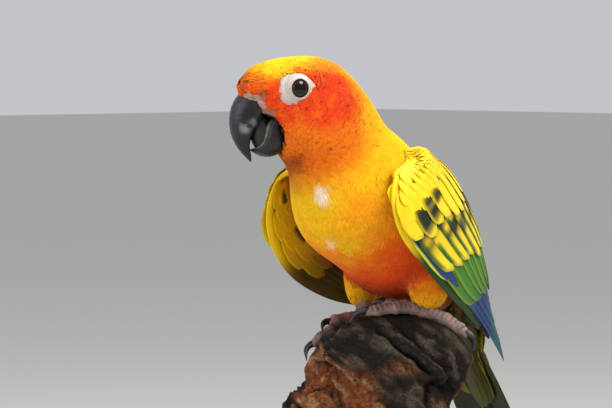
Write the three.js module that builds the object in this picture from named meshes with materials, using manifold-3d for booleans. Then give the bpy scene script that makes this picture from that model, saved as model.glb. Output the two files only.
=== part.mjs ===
// A sun conure at life size, perched on a cut length of weathered log over a display stand.
// Millimetres, +Z up. The bird faces -Y, its own left side is +X, and z = 0 is the top of the log
// under its feet until the last lines set the whole model down on its base.
import * as THREE from 'three';
import { mergeVertices } from 'three/addons/utils/BufferGeometryUtils.js';
import Module from 'manifold-3d';

const wasm = await Module();
wasm.setup();

// Driving dimensions
const GAP = 0.35; // left between neighbours that touch
const HEAD_TURN = 35; // degrees, to the bird's own right
const HEAD_CENTRE = [-3, -22, 68.4];
const TAIL_PITCH = 59; // degrees below level
const TAIL_ROOT = [0, 42, -5];
const TAIL_LENGTH = 138;
const TAIL_PAIRS = 6;
const EYE_RADIUS = 4.3;
const TOE_RADIUS = 1.75;
const FOOT_TURN = 35; // degrees, the toes point the way the head does
const LOG_DEPTH = 44; // from the perching surface to the saw cut
const ROD_RADIUS = 3.2;
const BASE_RADIUS = 62;
const BASE_HEIGHT = 10;
const BASE_CENTRE = [2, 18];
const TAIL_CLEARANCE = 4; // between the tail's tip and the base's top
const VANE_THICKNESS = 0.7;
const SHORTEST_EDGES = [0.06, 0.04, 0.09, 0.13, 0.02]; // of a face left by a join or a cut, tried in turn

const vec = (x, y, z) => new THREE.Vector3(x, y, z);
const rad = THREE.MathUtils.degToRad;
const lerp = THREE.MathUtils.lerp;

// Colours
const paint = (color, roughness, metalness = 0) =>
  new THREE.MeshStandardMaterial({ color, roughness, metalness });
const materials = {
  face: paint(0xf2641a, 0.8),
  neck: paint(0xf7a41c, 0.8),
  body: paint(0xf4b81e, 0.8),
  thigh: paint(0xf08a1e, 0.8),
  wing: paint(0xe8cf1c, 0.75),
  tail: paint(0x4d5a26, 0.7),
  bill: paint(0x2b2a2d, 0.4),
  eye: paint(0x1a100c, 0.1),
  foot: paint(0xb08d88, 0.6),
  claw: paint(0x2d2b2c, 0.35),
  log: paint(0x5a4636, 0.95),
  steel: paint(0x8d9093, 0.35, 0.9),
  base: paint(0x3a3532, 0.5),
};

// Closed bodies

function geometryOf(points, triangles) {
  const geometry = new THREE.BufferGeometry();
  geometry.setAttribute('position', new THREE.Float32BufferAttribute(points.flatMap((p) => p.toArray()), 3));
  geometry.setIndex(triangles.flat());
  return geometry;
}

function solidOf(geometry) {
  const bare = geometry.clone();
  bare.deleteAttribute('normal');
  bare.deleteAttribute('uv');
  const merged = mergeVertices(bare, 1e-5);
  const vertProperties = new Float32Array(merged.attributes.position.array);
  const triVerts = new Uint32Array(merged.index.array);
  return new wasm.Manifold(new wasm.Mesh({ numProp: 3, vertProperties, triVerts }));
}

// A closed skin with its faces turned out, whichever way its points run.
function outward(points, triangles) {
  const solid = solidOf(geometryOf(points, triangles));
  if (solid.volume() > 0) return solid;
  return solidOf(geometryOf(points, triangles.map(([a, b, c]) => [a, c, b])));
}

function largest(solid) {
  const pieces = solid.decompose();
  return pieces.reduce((best, piece) => (piece.volume() > best.volume() ? piece : best));
}

function meshGeometry(solid) {
  const mesh = solid.getMesh();
  const geometry = new THREE.BufferGeometry();
  geometry.setAttribute('position', new THREE.BufferAttribute(new Float32Array(mesh.vertProperties), 3));
  geometry.setIndex(new THREE.BufferAttribute(new Uint32Array(mesh.triVerts), 1));
  return geometry;
}

// The same surface with each edge shorter than a limit drawn together into one point.
function withoutSlivers(geometry, shortest) {
  const place = geometry.attributes.position;
  const points = Array.from({ length: place.count }, (_, i) => vec(0, 0, 0).fromBufferAttribute(place, i));
  const merged = points.map((_, i) => i);
  const root = (i) => {
    let k = i;
    while (merged[k] !== k) k = merged[k];
    return k;
  };
  const index = Array.from(geometry.index.array);
  for (let i = 0; i < index.length; i += 3) {
    for (let k = 0; k < 3; k += 1) {
      const a = root(index[i + k]);
      const b = root(index[i + ((k + 1) % 3)]);
      if (a !== b && points[a].distanceTo(points[b]) < shortest) merged[Math.max(a, b)] = Math.min(a, b);
    }
  }
  const faces = new Map();
  for (let i = 0; i < index.length; i += 3) {
    const face = [0, 1, 2].map((k) => root(index[i + k]));
    if (new Set(face).size < 3) continue;
    const key = [...face].sort((a, b) => a - b).join();
    if (faces.has(key)) faces.delete(key);
    else faces.set(key, face);
  }
  return geometryOf(points, [...faces.values()]);
}

// Whether two faces meet at each edge, with points closer than a hundredth taken as one.
function everyEdgeHasTwoFaces(geometry) {
  const merged = mergeVertices(geometry, 0.01);
  const index = merged.index.array;
  const uses = new Map();
  for (let i = 0; i < index.length; i += 3) {
    for (let k = 0; k < 3; k += 1) {
      const key = [index[i + k], index[i + ((k + 1) % 3)]].sort((a, b) => a - b).join();
      uses.set(key, (uses.get(key) ?? 0) + 1);
    }
  }
  return [...uses.values()].every((count) => count === 2);
}

// The largest closed surface, taken again once its slivers are gone.
function geometryFrom(solid) {
  const whole = meshGeometry(largest(solid));
  for (const shortest of SHORTEST_EDGES) {
    try {
      const clean = meshGeometry(largest(solidOf(withoutSlivers(whole, shortest))));
      if (everyEdgeHasTwoFaces(clean)) return clean;
    } catch {
      continue;
    }
  }
  return whole;
}

// Rings of equal count joined into one closed skin, with a fan over each end.
function ringSolid(rings) {
  const count = rings[0].length;
  const middle = (ring) => ring.reduce((sum, p) => sum.add(p), vec(0, 0, 0)).divideScalar(count);
  const points = [...rings.flat(), middle(rings[0]), middle(rings[rings.length - 1])];
  const first = points.length - 2;
  const last = points.length - 1;
  const triangles = [];
  for (let k = 0; k < count; k += 1) {
    const next = (k + 1) % count;
    for (let r = 0; r < rings.length - 1; r += 1) {
      const a = r * count + k;
      const b = r * count + next;
      triangles.push([a, b, b + count], [a, b + count, a + count]);
    }
    const end = (rings.length - 1) * count;
    triangles.push([first, next, k], [last, end + k, end + next]);
  }
  return outward(points, triangles);
}

// A tube of round sections along a list of points.
function tube(path, radii, sides = 8) {
  const curve = new THREE.CatmullRomCurve3(path);
  const steps = path.length - 1;
  let across = vec(0, 0, 1);
  const rings = path.map((centre, i) => {
    const along = curve.getTangent(i / steps);
    across = across.clone().addScaledVector(along, -across.dot(along)).normalize();
    const up = vec(0, 0, 0).crossVectors(along, across);
    return Array.from({ length: sides }, (_, k) => {
      const angle = (2 * Math.PI * k) / sides;
      return centre
        .clone()
        .addScaledVector(across, radii[i] * Math.cos(angle))
        .addScaledVector(up, radii[i] * Math.sin(angle));
    });
  });
  return ringSolid(rings);
}

// Smooth bodies: a signed field that is negative inside, meshed on a grid and drawn onto its zero.

function blob(centre, radii, turn = new THREE.Matrix4()) {
  const back = turn.clone().setPosition(...centre).invert();
  const q = vec(0, 0, 0);
  return (p) => {
    q.copy(p).applyMatrix4(back);
    const near = Math.hypot(q.x / radii[0], q.y / radii[1], q.z / radii[2]);
    const slope = Math.hypot(q.x / radii[0] ** 2, q.y / radii[1] ** 2, q.z / radii[2] ** 2);
    return slope < 1e-9 ? -Math.min(...radii) : (near * (near - 1)) / slope;
  };
}

function blend(fields, soft) {
  return (p) =>
    fields.reduce((sum, field) => {
      const value = field(p);
      const mix = Math.max(soft - Math.abs(sum - value), 0) / soft;
      return Math.min(sum, value) - (mix * mix * soft) / 4;
    }, 1e3);
}

function gradient(field, p) {
  const h = 0.05;
  return vec(
    field(vec(p.x + h, p.y, p.z)) - field(vec(p.x - h, p.y, p.z)),
    field(vec(p.x, p.y + h, p.z)) - field(vec(p.x, p.y - h, p.z)),
    field(vec(p.x, p.y, p.z + h)) - field(vec(p.x, p.y, p.z - h)),
  ).divideScalar(2 * h);
}

function toSurface(field, p, offset = 0, rounds = 4) {
  const q = p.clone();
  for (let i = 0; i < rounds; i += 1) {
    const slope = gradient(field, q);
    q.addScaledVector(slope, -(field(q) - offset) / Math.max(slope.lengthSq(), 0.05));
  }
  return q;
}

function fieldSolid(field, low, high, step) {
  const n = low.map((v, i) => Math.ceil((high[i] - v) / step) + 1);
  const at = (i, j, k) => (k * n[1] + j) * n[0] + i;
  const place = (i, j, k) => vec(low[0] + i * step, low[1] + j * step, low[2] + k * step);
  const values = new Float32Array(n[0] * n[1] * n[2]);
  const onBorder = (...index) => index.some((v, axis) => v === 0 || v === n[axis] - 1);
  for (let k = 0; k < n[2]; k += 1) {
    for (let j = 0; j < n[1]; j += 1) {
      for (let i = 0; i < n[0]; i += 1) {
        const value = field(place(i, j, k));
        values[at(i, j, k)] = onBorder(i, j, k) ? Math.max(value, step / 2) : value;
      }
    }
  }
  const inside = (i, j, k) => values[at(i, j, k)] < 0;
  const points = [];
  const pointOf = new Map();
  const corners = [0, 1, 2, 3, 4, 5, 6, 7].map((c) => [c & 1, (c >> 1) & 1, (c >> 2) & 1]);
  const cellPoint = (i, j, k) => {
    const key = at(i, j, k);
    if (!pointOf.has(key)) {
      const sum = vec(0, 0, 0);
      let count = 0;
      for (const a of corners) {
        for (let axis = 0; axis < 3; axis += 1) {
          if (a[axis]) continue;
          const b = a.map((v, m) => (m === axis ? 1 : v));
          const va = values[at(i + a[0], j + a[1], k + a[2])];
          const vb = values[at(i + b[0], j + b[1], k + b[2])];
          if (va < 0 === vb < 0) continue;
          const from = place(i + a[0], j + a[1], k + a[2]);
          sum.add(from.lerp(place(i + b[0], j + b[1], k + b[2]), va / (va - vb)));
          count += 1;
        }
      }
      sum.divideScalar(count);
      const clipped = onBorder(i, j, k) || onBorder(i + 1, j + 1, k + 1);
      pointOf.set(key, points.push(clipped ? sum : toSurface(field, sum, 0, 2)) - 1);
    }
    return pointOf.get(key);
  };
  const triangles = [];
  const axes = [[1, 0, 0], [0, 1, 0], [0, 0, 1]];
  for (let k = 0; k < n[2] - 1; k += 1) {
    for (let j = 0; j < n[1] - 1; j += 1) {
      for (let i = 0; i < n[0] - 1; i += 1) {
        for (let axis = 0; axis < 3; axis += 1) {
          const [di, dj, dk] = axes[axis];
          const here = inside(i, j, k);
          if (here === inside(i + di, j + dj, k + dk)) continue;
          const u = axes[(axis + 1) % 3];
          const v = axes[(axis + 2) % 3];
          const quad = [[0, 0], [1, 0], [1, 1], [0, 1]].map(([a, b]) =>
            cellPoint(i - a * u[0] - b * v[0], j - a * u[1] - b * v[1], k - a * u[2] - b * v[2]));
          if (!here) quad.reverse();
          triangles.push([quad[0], quad[1], quad[2]], [quad[0], quad[2], quad[3]]);
        }
      }
    }
  }
  return solidOf(geometryOf(points, triangles));
}

const shifted = (field, offset) => (p) => field(p) - offset;

// Body: trunk, chest, belly, rump and neck in one smooth field

const headFrame = new THREE.Matrix4()
  .makeBasis(
    vec(-Math.sin(rad(HEAD_TURN)), -Math.cos(rad(HEAD_TURN)), 0),
    vec(Math.cos(rad(HEAD_TURN)), -Math.sin(rad(HEAD_TURN)), 0),
    vec(0, 0, 1),
  )
  .setPosition(...HEAD_CENTRE);
// In the head's own frame +X is towards the bill, +Y the bird's left and +Z up.
const inHead = (x, y, z) => vec(x, y, z).applyMatrix4(headFrame);
const headBlob = (centre, radii) => blob(inHead(...centre).toArray(), radii, headFrame.clone());

const trunkTurn = new THREE.Matrix4().makeRotationX(rad(-42));
const tailTurn = new THREE.Matrix4().makeRotationX(rad(-TAIL_PITCH));
const trunkField = blend(
  [
    blob([0, 9, 30.5], [20.5, 34, 19], trunkTurn),
    blob([0, -3, 35.5], [21, 21, 20.5]),
    blob([0, 12, 22], [17, 20, 15], trunkTurn),
    blob([0, 30, 11], [13.5, 20, 12], trunkTurn),
    blob([0, 42, -4], [7.5, 13, 5.2], tailTurn),
    blob([0, -9, 48], [16, 15, 14]),
    blob([-1.5, -15, 56], [13.5, 13, 13]),
  ],
  8,
);
const skullField = blend(
  [
    headBlob([0.5, 0, -2.2], [16.5, 12.6, 15.2]),
    headBlob([11.5, 0, 3], [10.6, 9, 8.2]),
    headBlob([2, 0, -8.5], [9.5, 10.2, 10.5]),
    headBlob([-7.5, 0, -8.5], [12.5, 12.8, 12.5]),
  ],
  6,
);
const bodyField = blend([trunkField, skullField], 7);

// Bill, in the head's frame: each section runs from its outer line to its inner line.

function billSolid(outer, inner, widths, grow) {
  const sides = 12;
  const outerLine = new THREE.CatmullRomCurve3(outer.map(([x, z]) => vec(x, 0, z)));
  const innerLine = new THREE.CatmullRomCurve3(inner.map(([x, z]) => vec(x, 0, z)));
  const widthLine = new THREE.CatmullRomCurve3(widths.map((w, i) => vec(i, w, 0)));
  const steps = 10;
  const rings = Array.from({ length: steps + 1 }, (_, i) => {
    const front = outerLine.getPoint(i / steps);
    const back = innerLine.getPoint(i / steps);
    const middle = front.clone().add(back).multiplyScalar(0.5);
    const reach = front.clone().sub(back);
    const half = reach.length() / 2 + grow;
    reach.normalize();
    const width = widthLine.getPoint(i / steps).y + grow;
    return Array.from({ length: sides }, (_v, k) => {
      const angle = (2 * Math.PI * k) / sides;
      const along = half * Math.cos(angle);
      const wide = width * Math.sin(angle) * (1 - 0.18 * Math.cos(angle));
      return inHead(middle.x + reach.x * along, wide, middle.z + reach.z * along);
    });
  });
  return ringSolid(rings);
}

const upperBill = (grow) =>
  billSolid(
    [[21, 3], [24.2, -1], [25.6, -6], [25.2, -11], [22.9, -16], [19, -20.3]],
    [[11.5, 1.5], [11, -3], [13.4, -8], [16, -11.4], [18.2, -15], [18.2, -19.8]],
    [5.8, 6.3, 5.7, 4.3, 2.7, 0.5],
    grow,
  );
const lowerBill = (grow) =>
  billSolid(
    [[8.6, -5.2], [6.6, -10], [7.6, -15], [11.2, -18.2], [15.6, -18.5], [19.1, -16.6]],
    [[11.6, -5.6], [13, -8.6], [13.8, -11.8], [14.8, -14.2], [16.8, -15.6], [18.7, -16.2]],
    [6.9, 7.1, 6.9, 5.8, 4, 1],
    grow,
  );

const ball = (centre, radii, detail = [14, 10]) =>
  solidOf(new THREE.SphereGeometry(1, ...detail).scale(...radii).applyMatrix4(
    headFrame.clone().multiply(new THREE.Matrix4().makeTranslation(...centre))));

const EYE_PLACE = [5, 9.3, 3.2];
const LID_RADIUS = 3.7;
const LID_THICKNESS = 1.9;
const LID_OUT = 3; // how far the lid's ring lies outside the middle of the eyeball
const CERE = { centre: [19.6, 0, 1.2], radii: [3.2, 6.9, 2.8] };
const NOSTRIL = { centre: [18.6, 6.4, 1.9], radii: [1.1, 1.2, 0.9] };
const TONGUE_RADII = [4.3, 4.2, 5.6];
const tongueBall = (grow) => ball([14.4, 0, -10.6], TONGUE_RADII.map((radius) => radius + grow), [12, 8]);
// The cheeks stop at the back of the lower bill and leave its sides in view.
const cheekEdge = () => ball([13.9, 0, -12], [6.4, 14, 7.4], [20, 14]);

// Thin cuts part the flesh: each side of a cut is what lies beyond a plane.
function halfSpace(point, normal) {
  const size = 300;
  const away = normal.clone().normalize();
  const turn = new THREE.Quaternion().setFromUnitVectors(vec(0, 0, 1), away);
  const box = new THREE.BoxGeometry(size, size, size).applyQuaternion(turn);
  const middle = vec(...point).addScaledVector(away, size / 2);
  return solidOf(box.translate(...middle.toArray()));
}

const HEAD_CUT = { point: [-2.5, -18, 58], normal: vec(-0.25, -0.45, 0.85) };
const NECK_CUT = { point: [0, -6, 48], normal: vec(0, -0.62, 0.78) };
const TAIL_CUT = { point: [0, 43, -2], normal: vec(0, 0.515, -0.857) };

const bodyLow = [-34, -62, -24];
const bodyHigh = [34, 66, 92];
const fleshCoarse = fieldSolid(bodyField, bodyLow, bodyHigh, 3.4);
const fleshFine = fieldSolid(bodyField, [-40, -60, 30], [30, 16, 92], 3.2);
const bodyKeepOut = fieldSolid(shifted(bodyField, GAP), bodyLow, bodyHigh, 3.4);

const beyond = (cut, side) => {
  const normal = cut.normal.clone().normalize().multiplyScalar(side);
  const point = vec(...cut.point).addScaledVector(normal, GAP / 2);
  return halfSpace(point.toArray(), normal);
};

function headSolid() {
  let head = fleshFine.intersect(beyond(HEAD_CUT, 1));
  for (const side of [1, -1]) {
    const [x, y, z] = EYE_PLACE;
    const ring = new THREE.TorusGeometry(LID_RADIUS, LID_THICKNESS / 2, 5, 14).rotateX(Math.PI / 2);
    const lid = ring.translate(x, side * (y + LID_OUT), z);
    head = head.add(solidOf(lid.applyMatrix4(headFrame)));
    head = head.subtract(ball([x, side * y, z], [1, 1, 1].map(() => EYE_RADIUS + GAP)));
  }
  head = head.add(ball(CERE.centre, CERE.radii));
  head = head.subtract(upperBill(GAP)).subtract(lowerBill(GAP)).subtract(tongueBall(GAP)).subtract(cheekEdge());
  for (const side of [1, -1]) {
    const [x, y, z] = NOSTRIL.centre;
    head = head.subtract(ball([x, side * y, z], NOSTRIL.radii, [8, 6]));
  }
  return head;
}

// Wing: a sheet between the leading line and the back line, with tiers of vanes on it.

const LEADING_LINES = {
  left: [
    [23, -1, 49], [29, -13, 43.9], [31.5, -16.9, 36.2], [32, -13.8, 26.4], [30, -2.7, 17], [26, 12.6, 7],
    [20, 27, 0], [14, 40, -7], [8, 54, -18], [4.5, 67, -36],
  ],
  right: [
    [-23, -2, 49], [-27.5, -12, 43], [-31, -14.5, 33], [-33, -11.5, 21.4], [-33, -2, 10], [-29, 12, 2],
    [-21, 27, -2], [-14, 40, -8], [-8, 54, -18], [-4.5, 67, -36],
  ],
};
const BACK_LINE = [
  [15, 0, 51], [13.5, 7, 51], [12, 15.5, 49.5], [10.5, 25, 45.5], [9, 33.5, 38.5], [7.5, 40.5, 29.5],
  [6.2, 45, 19], [5, 49, 7], [4.2, 56, -8], [3.4, 67, -32],
];
const WING_BULGE = 7.5;
const SKIN_CLEARANCE = 0.75; // keeps flat faces between the points clear of the round body
const CORE_END = 0.5; // the share of the wing's length that the arm and its muscles fill
const SHOULDER_END = 0.22; // and the share that is joined to the breast
const SHOULDER_FACING = 0.14; // before this share the sheet keeps one slant
const line = (points) => new THREE.CatmullRomCurve3(points.map((p) => vec(...p)));

const clearOfBody = (p, clearance) => (bodyField(p) < clearance ? toSurface(bodyField, p, clearance) : p);

function makeWing(label, side) {
  const leading = line(LEADING_LINES[label]);
  const back = line(BACK_LINE.map(([x, y, z]) => [side * x, y, z]));

  const flat = (s, t) => {
    const share = THREE.MathUtils.clamp(s, 0, 1);
    return leading.getPoint(share).lerp(back.getPoint(share), t);
  };

  const wingPoint = (s, t, height = 0) => {
    const step = 0.02;
    const facing = Math.max(s, SHOULDER_FACING);
    const along = flat(facing + step, t).sub(flat(facing - step, t));
    const across = flat(facing, t + step).sub(flat(facing, t - step));
    const normal = vec(0, 0, 0).crossVectors(along, across).multiplyScalar(side).normalize();
    const rise = THREE.MathUtils.smoothstep(s, -0.06, 0.16);
    const arch = 4 * t * (1 - t) * rise * lerp(WING_BULGE, 1.5, Math.max(0, s - 0.35) / 0.65);
    return flat(s, t).addScaledVector(normal, arch + height);
  };

  // A thin closed sheet over s and t, thick at its middle.
  const core = () => {
    const nu = 12;
    const nv = 6;
    const points = [];
    const at = (face, i, j) => face * (nu + 1) * (nv + 1) + i * (nv + 1) + j;
    for (const face of [0, 1]) {
      for (let i = 0; i <= nu; i += 1) {
        for (let j = 0; j <= nv; j += 1) {
          const [s, t] = [(CORE_END * i) / nu, j / nv];
          const round = Math.sqrt(Math.max(0, 1 - (2 * t - 1) ** 4));
          const depth = 1 + 2.1 * round * Math.min(1, 0.35 + 3 * s) * (1 - 0.7 * s);
          const outer = clearOfBody(wingPoint(s, t), SKIN_CLEARANCE + 1);
          if (!face) {
            points.push(outer);
            continue;
          }
          const inner = clearOfBody(wingPoint(s, t, -depth), SKIN_CLEARANCE);
          const shoulder = 1 - THREE.MathUtils.smoothstep(s, 0.06, SHOULDER_END * (0.6 + 0.8 * t));
          points.push(inner.lerp(toSurface(bodyField, outer, SKIN_CLEARANCE), shoulder));
        }
      }
    }
    const triangles = [];
    const quad = (a, b, c, d) => triangles.push([a, b, c], [a, c, d]);
    for (let i = 0; i < nu; i += 1) {
      for (let j = 0; j < nv; j += 1) {
        quad(at(0, i, j), at(0, i + 1, j), at(0, i + 1, j + 1), at(0, i, j + 1));
        triangles.push([at(1, i, j), at(1, i + 1, j + 1), at(1, i + 1, j)]);
        triangles.push([at(1, i, j), at(1, i, j + 1), at(1, i + 1, j + 1)]);
      }
      quad(at(0, i, 0), at(1, i, 0), at(1, i + 1, 0), at(0, i + 1, 0));
      quad(at(0, i, nv), at(0, i + 1, nv), at(1, i + 1, nv), at(1, i, nv));
    }
    for (let j = 0; j < nv; j += 1) {
      quad(at(0, 0, j), at(0, 0, j + 1), at(1, 0, j + 1), at(1, 0, j));
      quad(at(0, nu, j), at(1, nu, j), at(1, nu, j + 1), at(0, nu, j + 1));
    }
    return outward(points, triangles);
  };

  const vane = ({ from, to, width, low, high, roll }) => {
    const place = (f, extra = 0) => {
      const rise = lerp(low, high, Math.min(1, f / 0.35));
      return wingPoint(lerp(from[0], to[0], f), lerp(from[1], to[1], f), rise + extra);
    };
    const frameAt = (f) => {
      const along = place(Math.min(1, f + 0.03)).sub(place(Math.max(0, f - 0.03))).normalize();
      const across = vec(0, 0, 0).crossVectors(place(f, 1).sub(place(f)), along).normalize();
      return { side: across, up: vec(0, 0, 0).crossVectors(along, across).normalize() };
    };
    return vaneSolid(place, frameAt, width, roll * side);
  };

  let wing = core();
  for (const row of WING_ROWS) {
    for (let i = 0; i < row.count; i += 1) {
      const f = i / (row.count - 1);
      const from = [lerp(row.from[0], row.from[2], f), lerp(row.from[1], row.from[3], f)];
      const to = [lerp(row.to[0], row.to[2], f), lerp(row.to[1], row.to[3], f)];
      wing = wing.add(vane({ ...row, from, to }));
    }
  }
  return wing;
}

// Rows of vanes from the innermost tier outwards. Each row runs from its first feather's share of the
// wing's length and width to its last feather's, at the roots and at the tips.
const WING_ROWS = [
  // primaries, then secondaries and greater coverts
  { count: 6, from: [0.42, 0.1, 0.42, 0.5], to: [0.91, 0.3, 0.76, 0.5], width: 9.5, low: -1.9, high: -1.6, roll: 0.25 },
  { count: 6, from: [0.42, 0.16, 0.42, 0.9], to: [0.7, 0.18, 0.76, 0.84], width: 9, low: -0.9, high: -0.5, roll: 0.25 },
  { count: 6, from: [0.3, 0.1, 0.3, 0.9], to: [0.5, 0.1, 0.55, 0.88], width: 8.5, low: -0.8, high: 0.7, roll: 0.2 },
];

// A vane: a thin blade along a line of points, widest past its middle and round at its tip.
const VANE_STATIONS = [0, 0.4, 0.86, 1];
const VANE_WIDTHS = [0.6, 1, 0.9, 0.35];

function vaneSolid(lineAt, sideAt, width, roll = 0) {
  const rings = VANE_STATIONS.map((f, i) => {
    const centre = lineAt(f);
    const { side, up } = sideAt(f);
    const half = (width / 2) * VANE_WIDTHS[i];
    const thick = VANE_THICKNESS / 2;
    const edge = (a, b) =>
      centre.clone().addScaledVector(side, a * half).addScaledVector(up, b * thick + a * roll * VANE_WIDTHS[i]);
    return [edge(-1, -1), edge(1, -1), edge(1, 1), edge(-1, 1)];
  });
  const points = rings.flat();
  const triangles = [[0, 2, 1], [0, 3, 2]];
  const quad = (a, b, c, d) => triangles.push([a, b, c], [a, c, d]);
  for (let r = 0; r < rings.length - 1; r += 1) {
    const o = 4 * r;
    quad(o, o + 1, o + 5, o + 4);
    quad(o + 1, o + 2, o + 6, o + 5);
    triangles.push([o + 3, o + 6, o + 2], [o + 3, o + 7, o + 6]);
    quad(o, o + 4, o + 7, o + 3);
  }
  const e = 4 * (rings.length - 1);
  quad(e, e + 1, e + 2, e + 3);
  return outward(points, triangles);
}

// Tail: graduated feathers in pairs, the longest pair in the middle and on top.

const tailAlong = vec(0, Math.cos(rad(TAIL_PITCH)), -Math.sin(rad(TAIL_PITCH)));
const tailUp = vec(0, Math.sin(rad(TAIL_PITCH)), Math.cos(rad(TAIL_PITCH)));

function tailVane(side, pair, length, width, rootHeight, tipHeight, spread) {
  const at = (f) =>
    vec(...TAIL_ROOT)
      .addScaledVector(tailAlong, lerp(-2, length, f))
      .addScaledVector(tailUp, lerp(rootHeight, tipHeight, f))
      .add(vec(side * lerp(1.2 + 0.5 * pair, spread, f), 0, 0));
  const frameAt = () => {
    const up = tailUp.clone().add(vec(side * 0.12 * pair * 0.4, 0, 0)).normalize();
    return { side: vec(0, 0, 0).crossVectors(tailAlong, up).normalize(), up };
  };
  return vaneSolid(at, frameAt, width);
}

function tailSolid() {
  let tail = fleshCoarse.intersect(beyond(TAIL_CUT, 1));
  for (let pair = 0; pair < TAIL_PAIRS; pair += 1) {
    const length = TAIL_LENGTH * (1 - 0.085 * pair);
    for (const side of [1, -1]) {
      const lift = side > 0 ? 0 : 0.45;
      tail = tail.add(tailVane(side, pair, length, 12.5, 1.5 - 0.6 * pair - lift, 2.4 - 1.05 * pair - lift, 2.6 + 1.7 * pair));
    }
  }
  return tail;
}

// Legs: the feathered thigh, then the scaled foot with two toes in front and two behind.

const legPlace = (side) => ({ hip: [side * 13.5, 17, 15], shin: [side * 14.7, 14, 6] });

function thighField(side) {
  const { hip, shin } = legPlace(side);
  return blend([blob(hip, [7.5, 10, 9.5]), blob(shin, [5, 5.6, 7])], 6);
}

const LOG_CENTRE = [6, 6];
const logField = blend(
  [
    blob([LOG_CENTRE[0] - 4, LOG_CENTRE[1] - 2, -21], [22, 25, 20.5]),
    blob([LOG_CENTRE[0] + 8, LOG_CENTRE[1] + 3, -20], [20, 20, 17]),
    blob([LOG_CENTRE[0] - 11, LOG_CENTRE[1] - 14, -36], [23, 20, 17]),
    blob([LOG_CENTRE[0] + 14, LOG_CENTRE[1] - 2, -38], [19, 18, 13]),
  ],
  7,
);

const footHeading = (side, degrees) => {
  const angle = rad(FOOT_TURN) - side * rad(degrees);
  return vec(-Math.sin(angle), -Math.cos(angle), 0);
};

const TOES = [
  { name: 'front_outer', angle: 10, length: 19, claw: 7 },
  { name: 'front_inner', angle: -24, length: 13, claw: 6 },
  { name: 'back_outer', angle: 152, length: 16, claw: 6.5 },
  { name: 'back_inner', angle: -158, length: 9, claw: 5.5 },
];
const footPad = (side) => toSurface(logField, vec(side * 14.6, 12, 0), TOE_RADIUS + GAP + 0.5);

function toePath(side, toe, from, to, steps, heightAt) {
  const start = footPad(side);
  const way = footHeading(side, toe.angle);
  const stride = 0.5;
  const points = [];
  let p = start.clone();
  let travelled = 0;
  const wanted = Array.from({ length: steps + 1 }, (_, i) => lerp(from, to, i / steps));
  while (points.length < wanted.length) {
    const f = (travelled - from) / (to - from);
    if (travelled >= wanted[points.length] - 1e-6) {
      points.push(toSurface(logField, p, heightAt(Math.max(0, f))));
      continue;
    }
    const normal = gradient(logField, p).normalize();
    const along = way.clone().addScaledVector(normal, -way.dot(normal)).normalize();
    p = toSurface(logField, p.addScaledVector(along, stride), TOE_RADIUS + GAP);
    travelled += stride;
  }
  return points;
}

function toeSolid(side, toe, grow) {
  const steps = 6;
  const path = toePath(side, toe, 0, toe.length, steps, () => TOE_RADIUS + GAP);
  const radii = path.map((_, i) => TOE_RADIUS * (1.08 - 0.22 * (i / steps)) * (i % 2 ? 0.93 : 1.05) + grow);
  return tube(path, radii);
}

function clawSolid(side, toe) {
  const steps = 5;
  const start = toe.length + 0.9;
  const height = (f) => lerp(TOE_RADIUS, 0.55, f) + GAP + 1.2 * Math.sin(Math.PI * Math.min(1, f));
  const path = toePath(side, toe, start, start + toe.claw, steps, height);
  const radii = path.map((_, i) => lerp(1.25, 0.3, i / steps));
  return tube(path, radii, 6);
}

function shankSolid(side, grow) {
  const { shin } = legPlace(side);
  const ankle = vec(shin[0], shin[1] + 1, shin[2] + 3 + grow);
  const path = [0, 0.35, 0.7, 1].map((f) => ankle.clone().lerp(footPad(side), f));
  return tube(path, [2.4, 2.3, 2.4, 2.2].map((radius) => radius + grow));
}

const footSolid = (side, grow) =>
  TOES.reduce((foot, toe) => foot.add(toeSolid(side, toe, grow)), shankSolid(side, grow));

// Log and stand

function logSolid() {
  const cut = halfSpace([0, 0, -LOG_DEPTH], vec(0, 0, 1));
  return fieldSolid(logField, [-46, -46, -60], [52, 46, 6], 5).intersect(cut);
}

const tailTipHeight = TAIL_ROOT[2] - TAIL_LENGTH * Math.sin(rad(TAIL_PITCH)) - 3;
const baseTop = tailTipHeight - TAIL_CLEARANCE;

function rod(x, y) {
  const length = -LOG_DEPTH - baseTop - 2 * GAP;
  const shape = new THREE.CylinderGeometry(ROD_RADIUS, ROD_RADIUS, length, 24).rotateX(Math.PI / 2);
  return shape.translate(x, y, baseTop + GAP + length / 2);
}

function base() {
  const bevel = 1.5;
  const profile = [
    [0, 0], [BASE_RADIUS, 0], [BASE_RADIUS, BASE_HEIGHT - bevel], [BASE_RADIUS - bevel, BASE_HEIGHT], [0, BASE_HEIGHT],
  ];
  const disc = new THREE.LatheGeometry(profile.map(([r, z]) => new THREE.Vector2(r, z)), 48);
  return disc.rotateX(Math.PI / 2).translate(...BASE_CENTRE, baseTop - BASE_HEIGHT);
}

// Assembly

const conure = new THREE.Group();

function place(name, shape, material) {
  const geometry = shape.isBufferGeometry ? shape : geometryFrom(shape);
  const mesh = new THREE.Mesh(geometry, materials[material]);
  mesh.name = name;
  conure.add(mesh);
}

const sides = [['left', 1], ['right', -1]];

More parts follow.
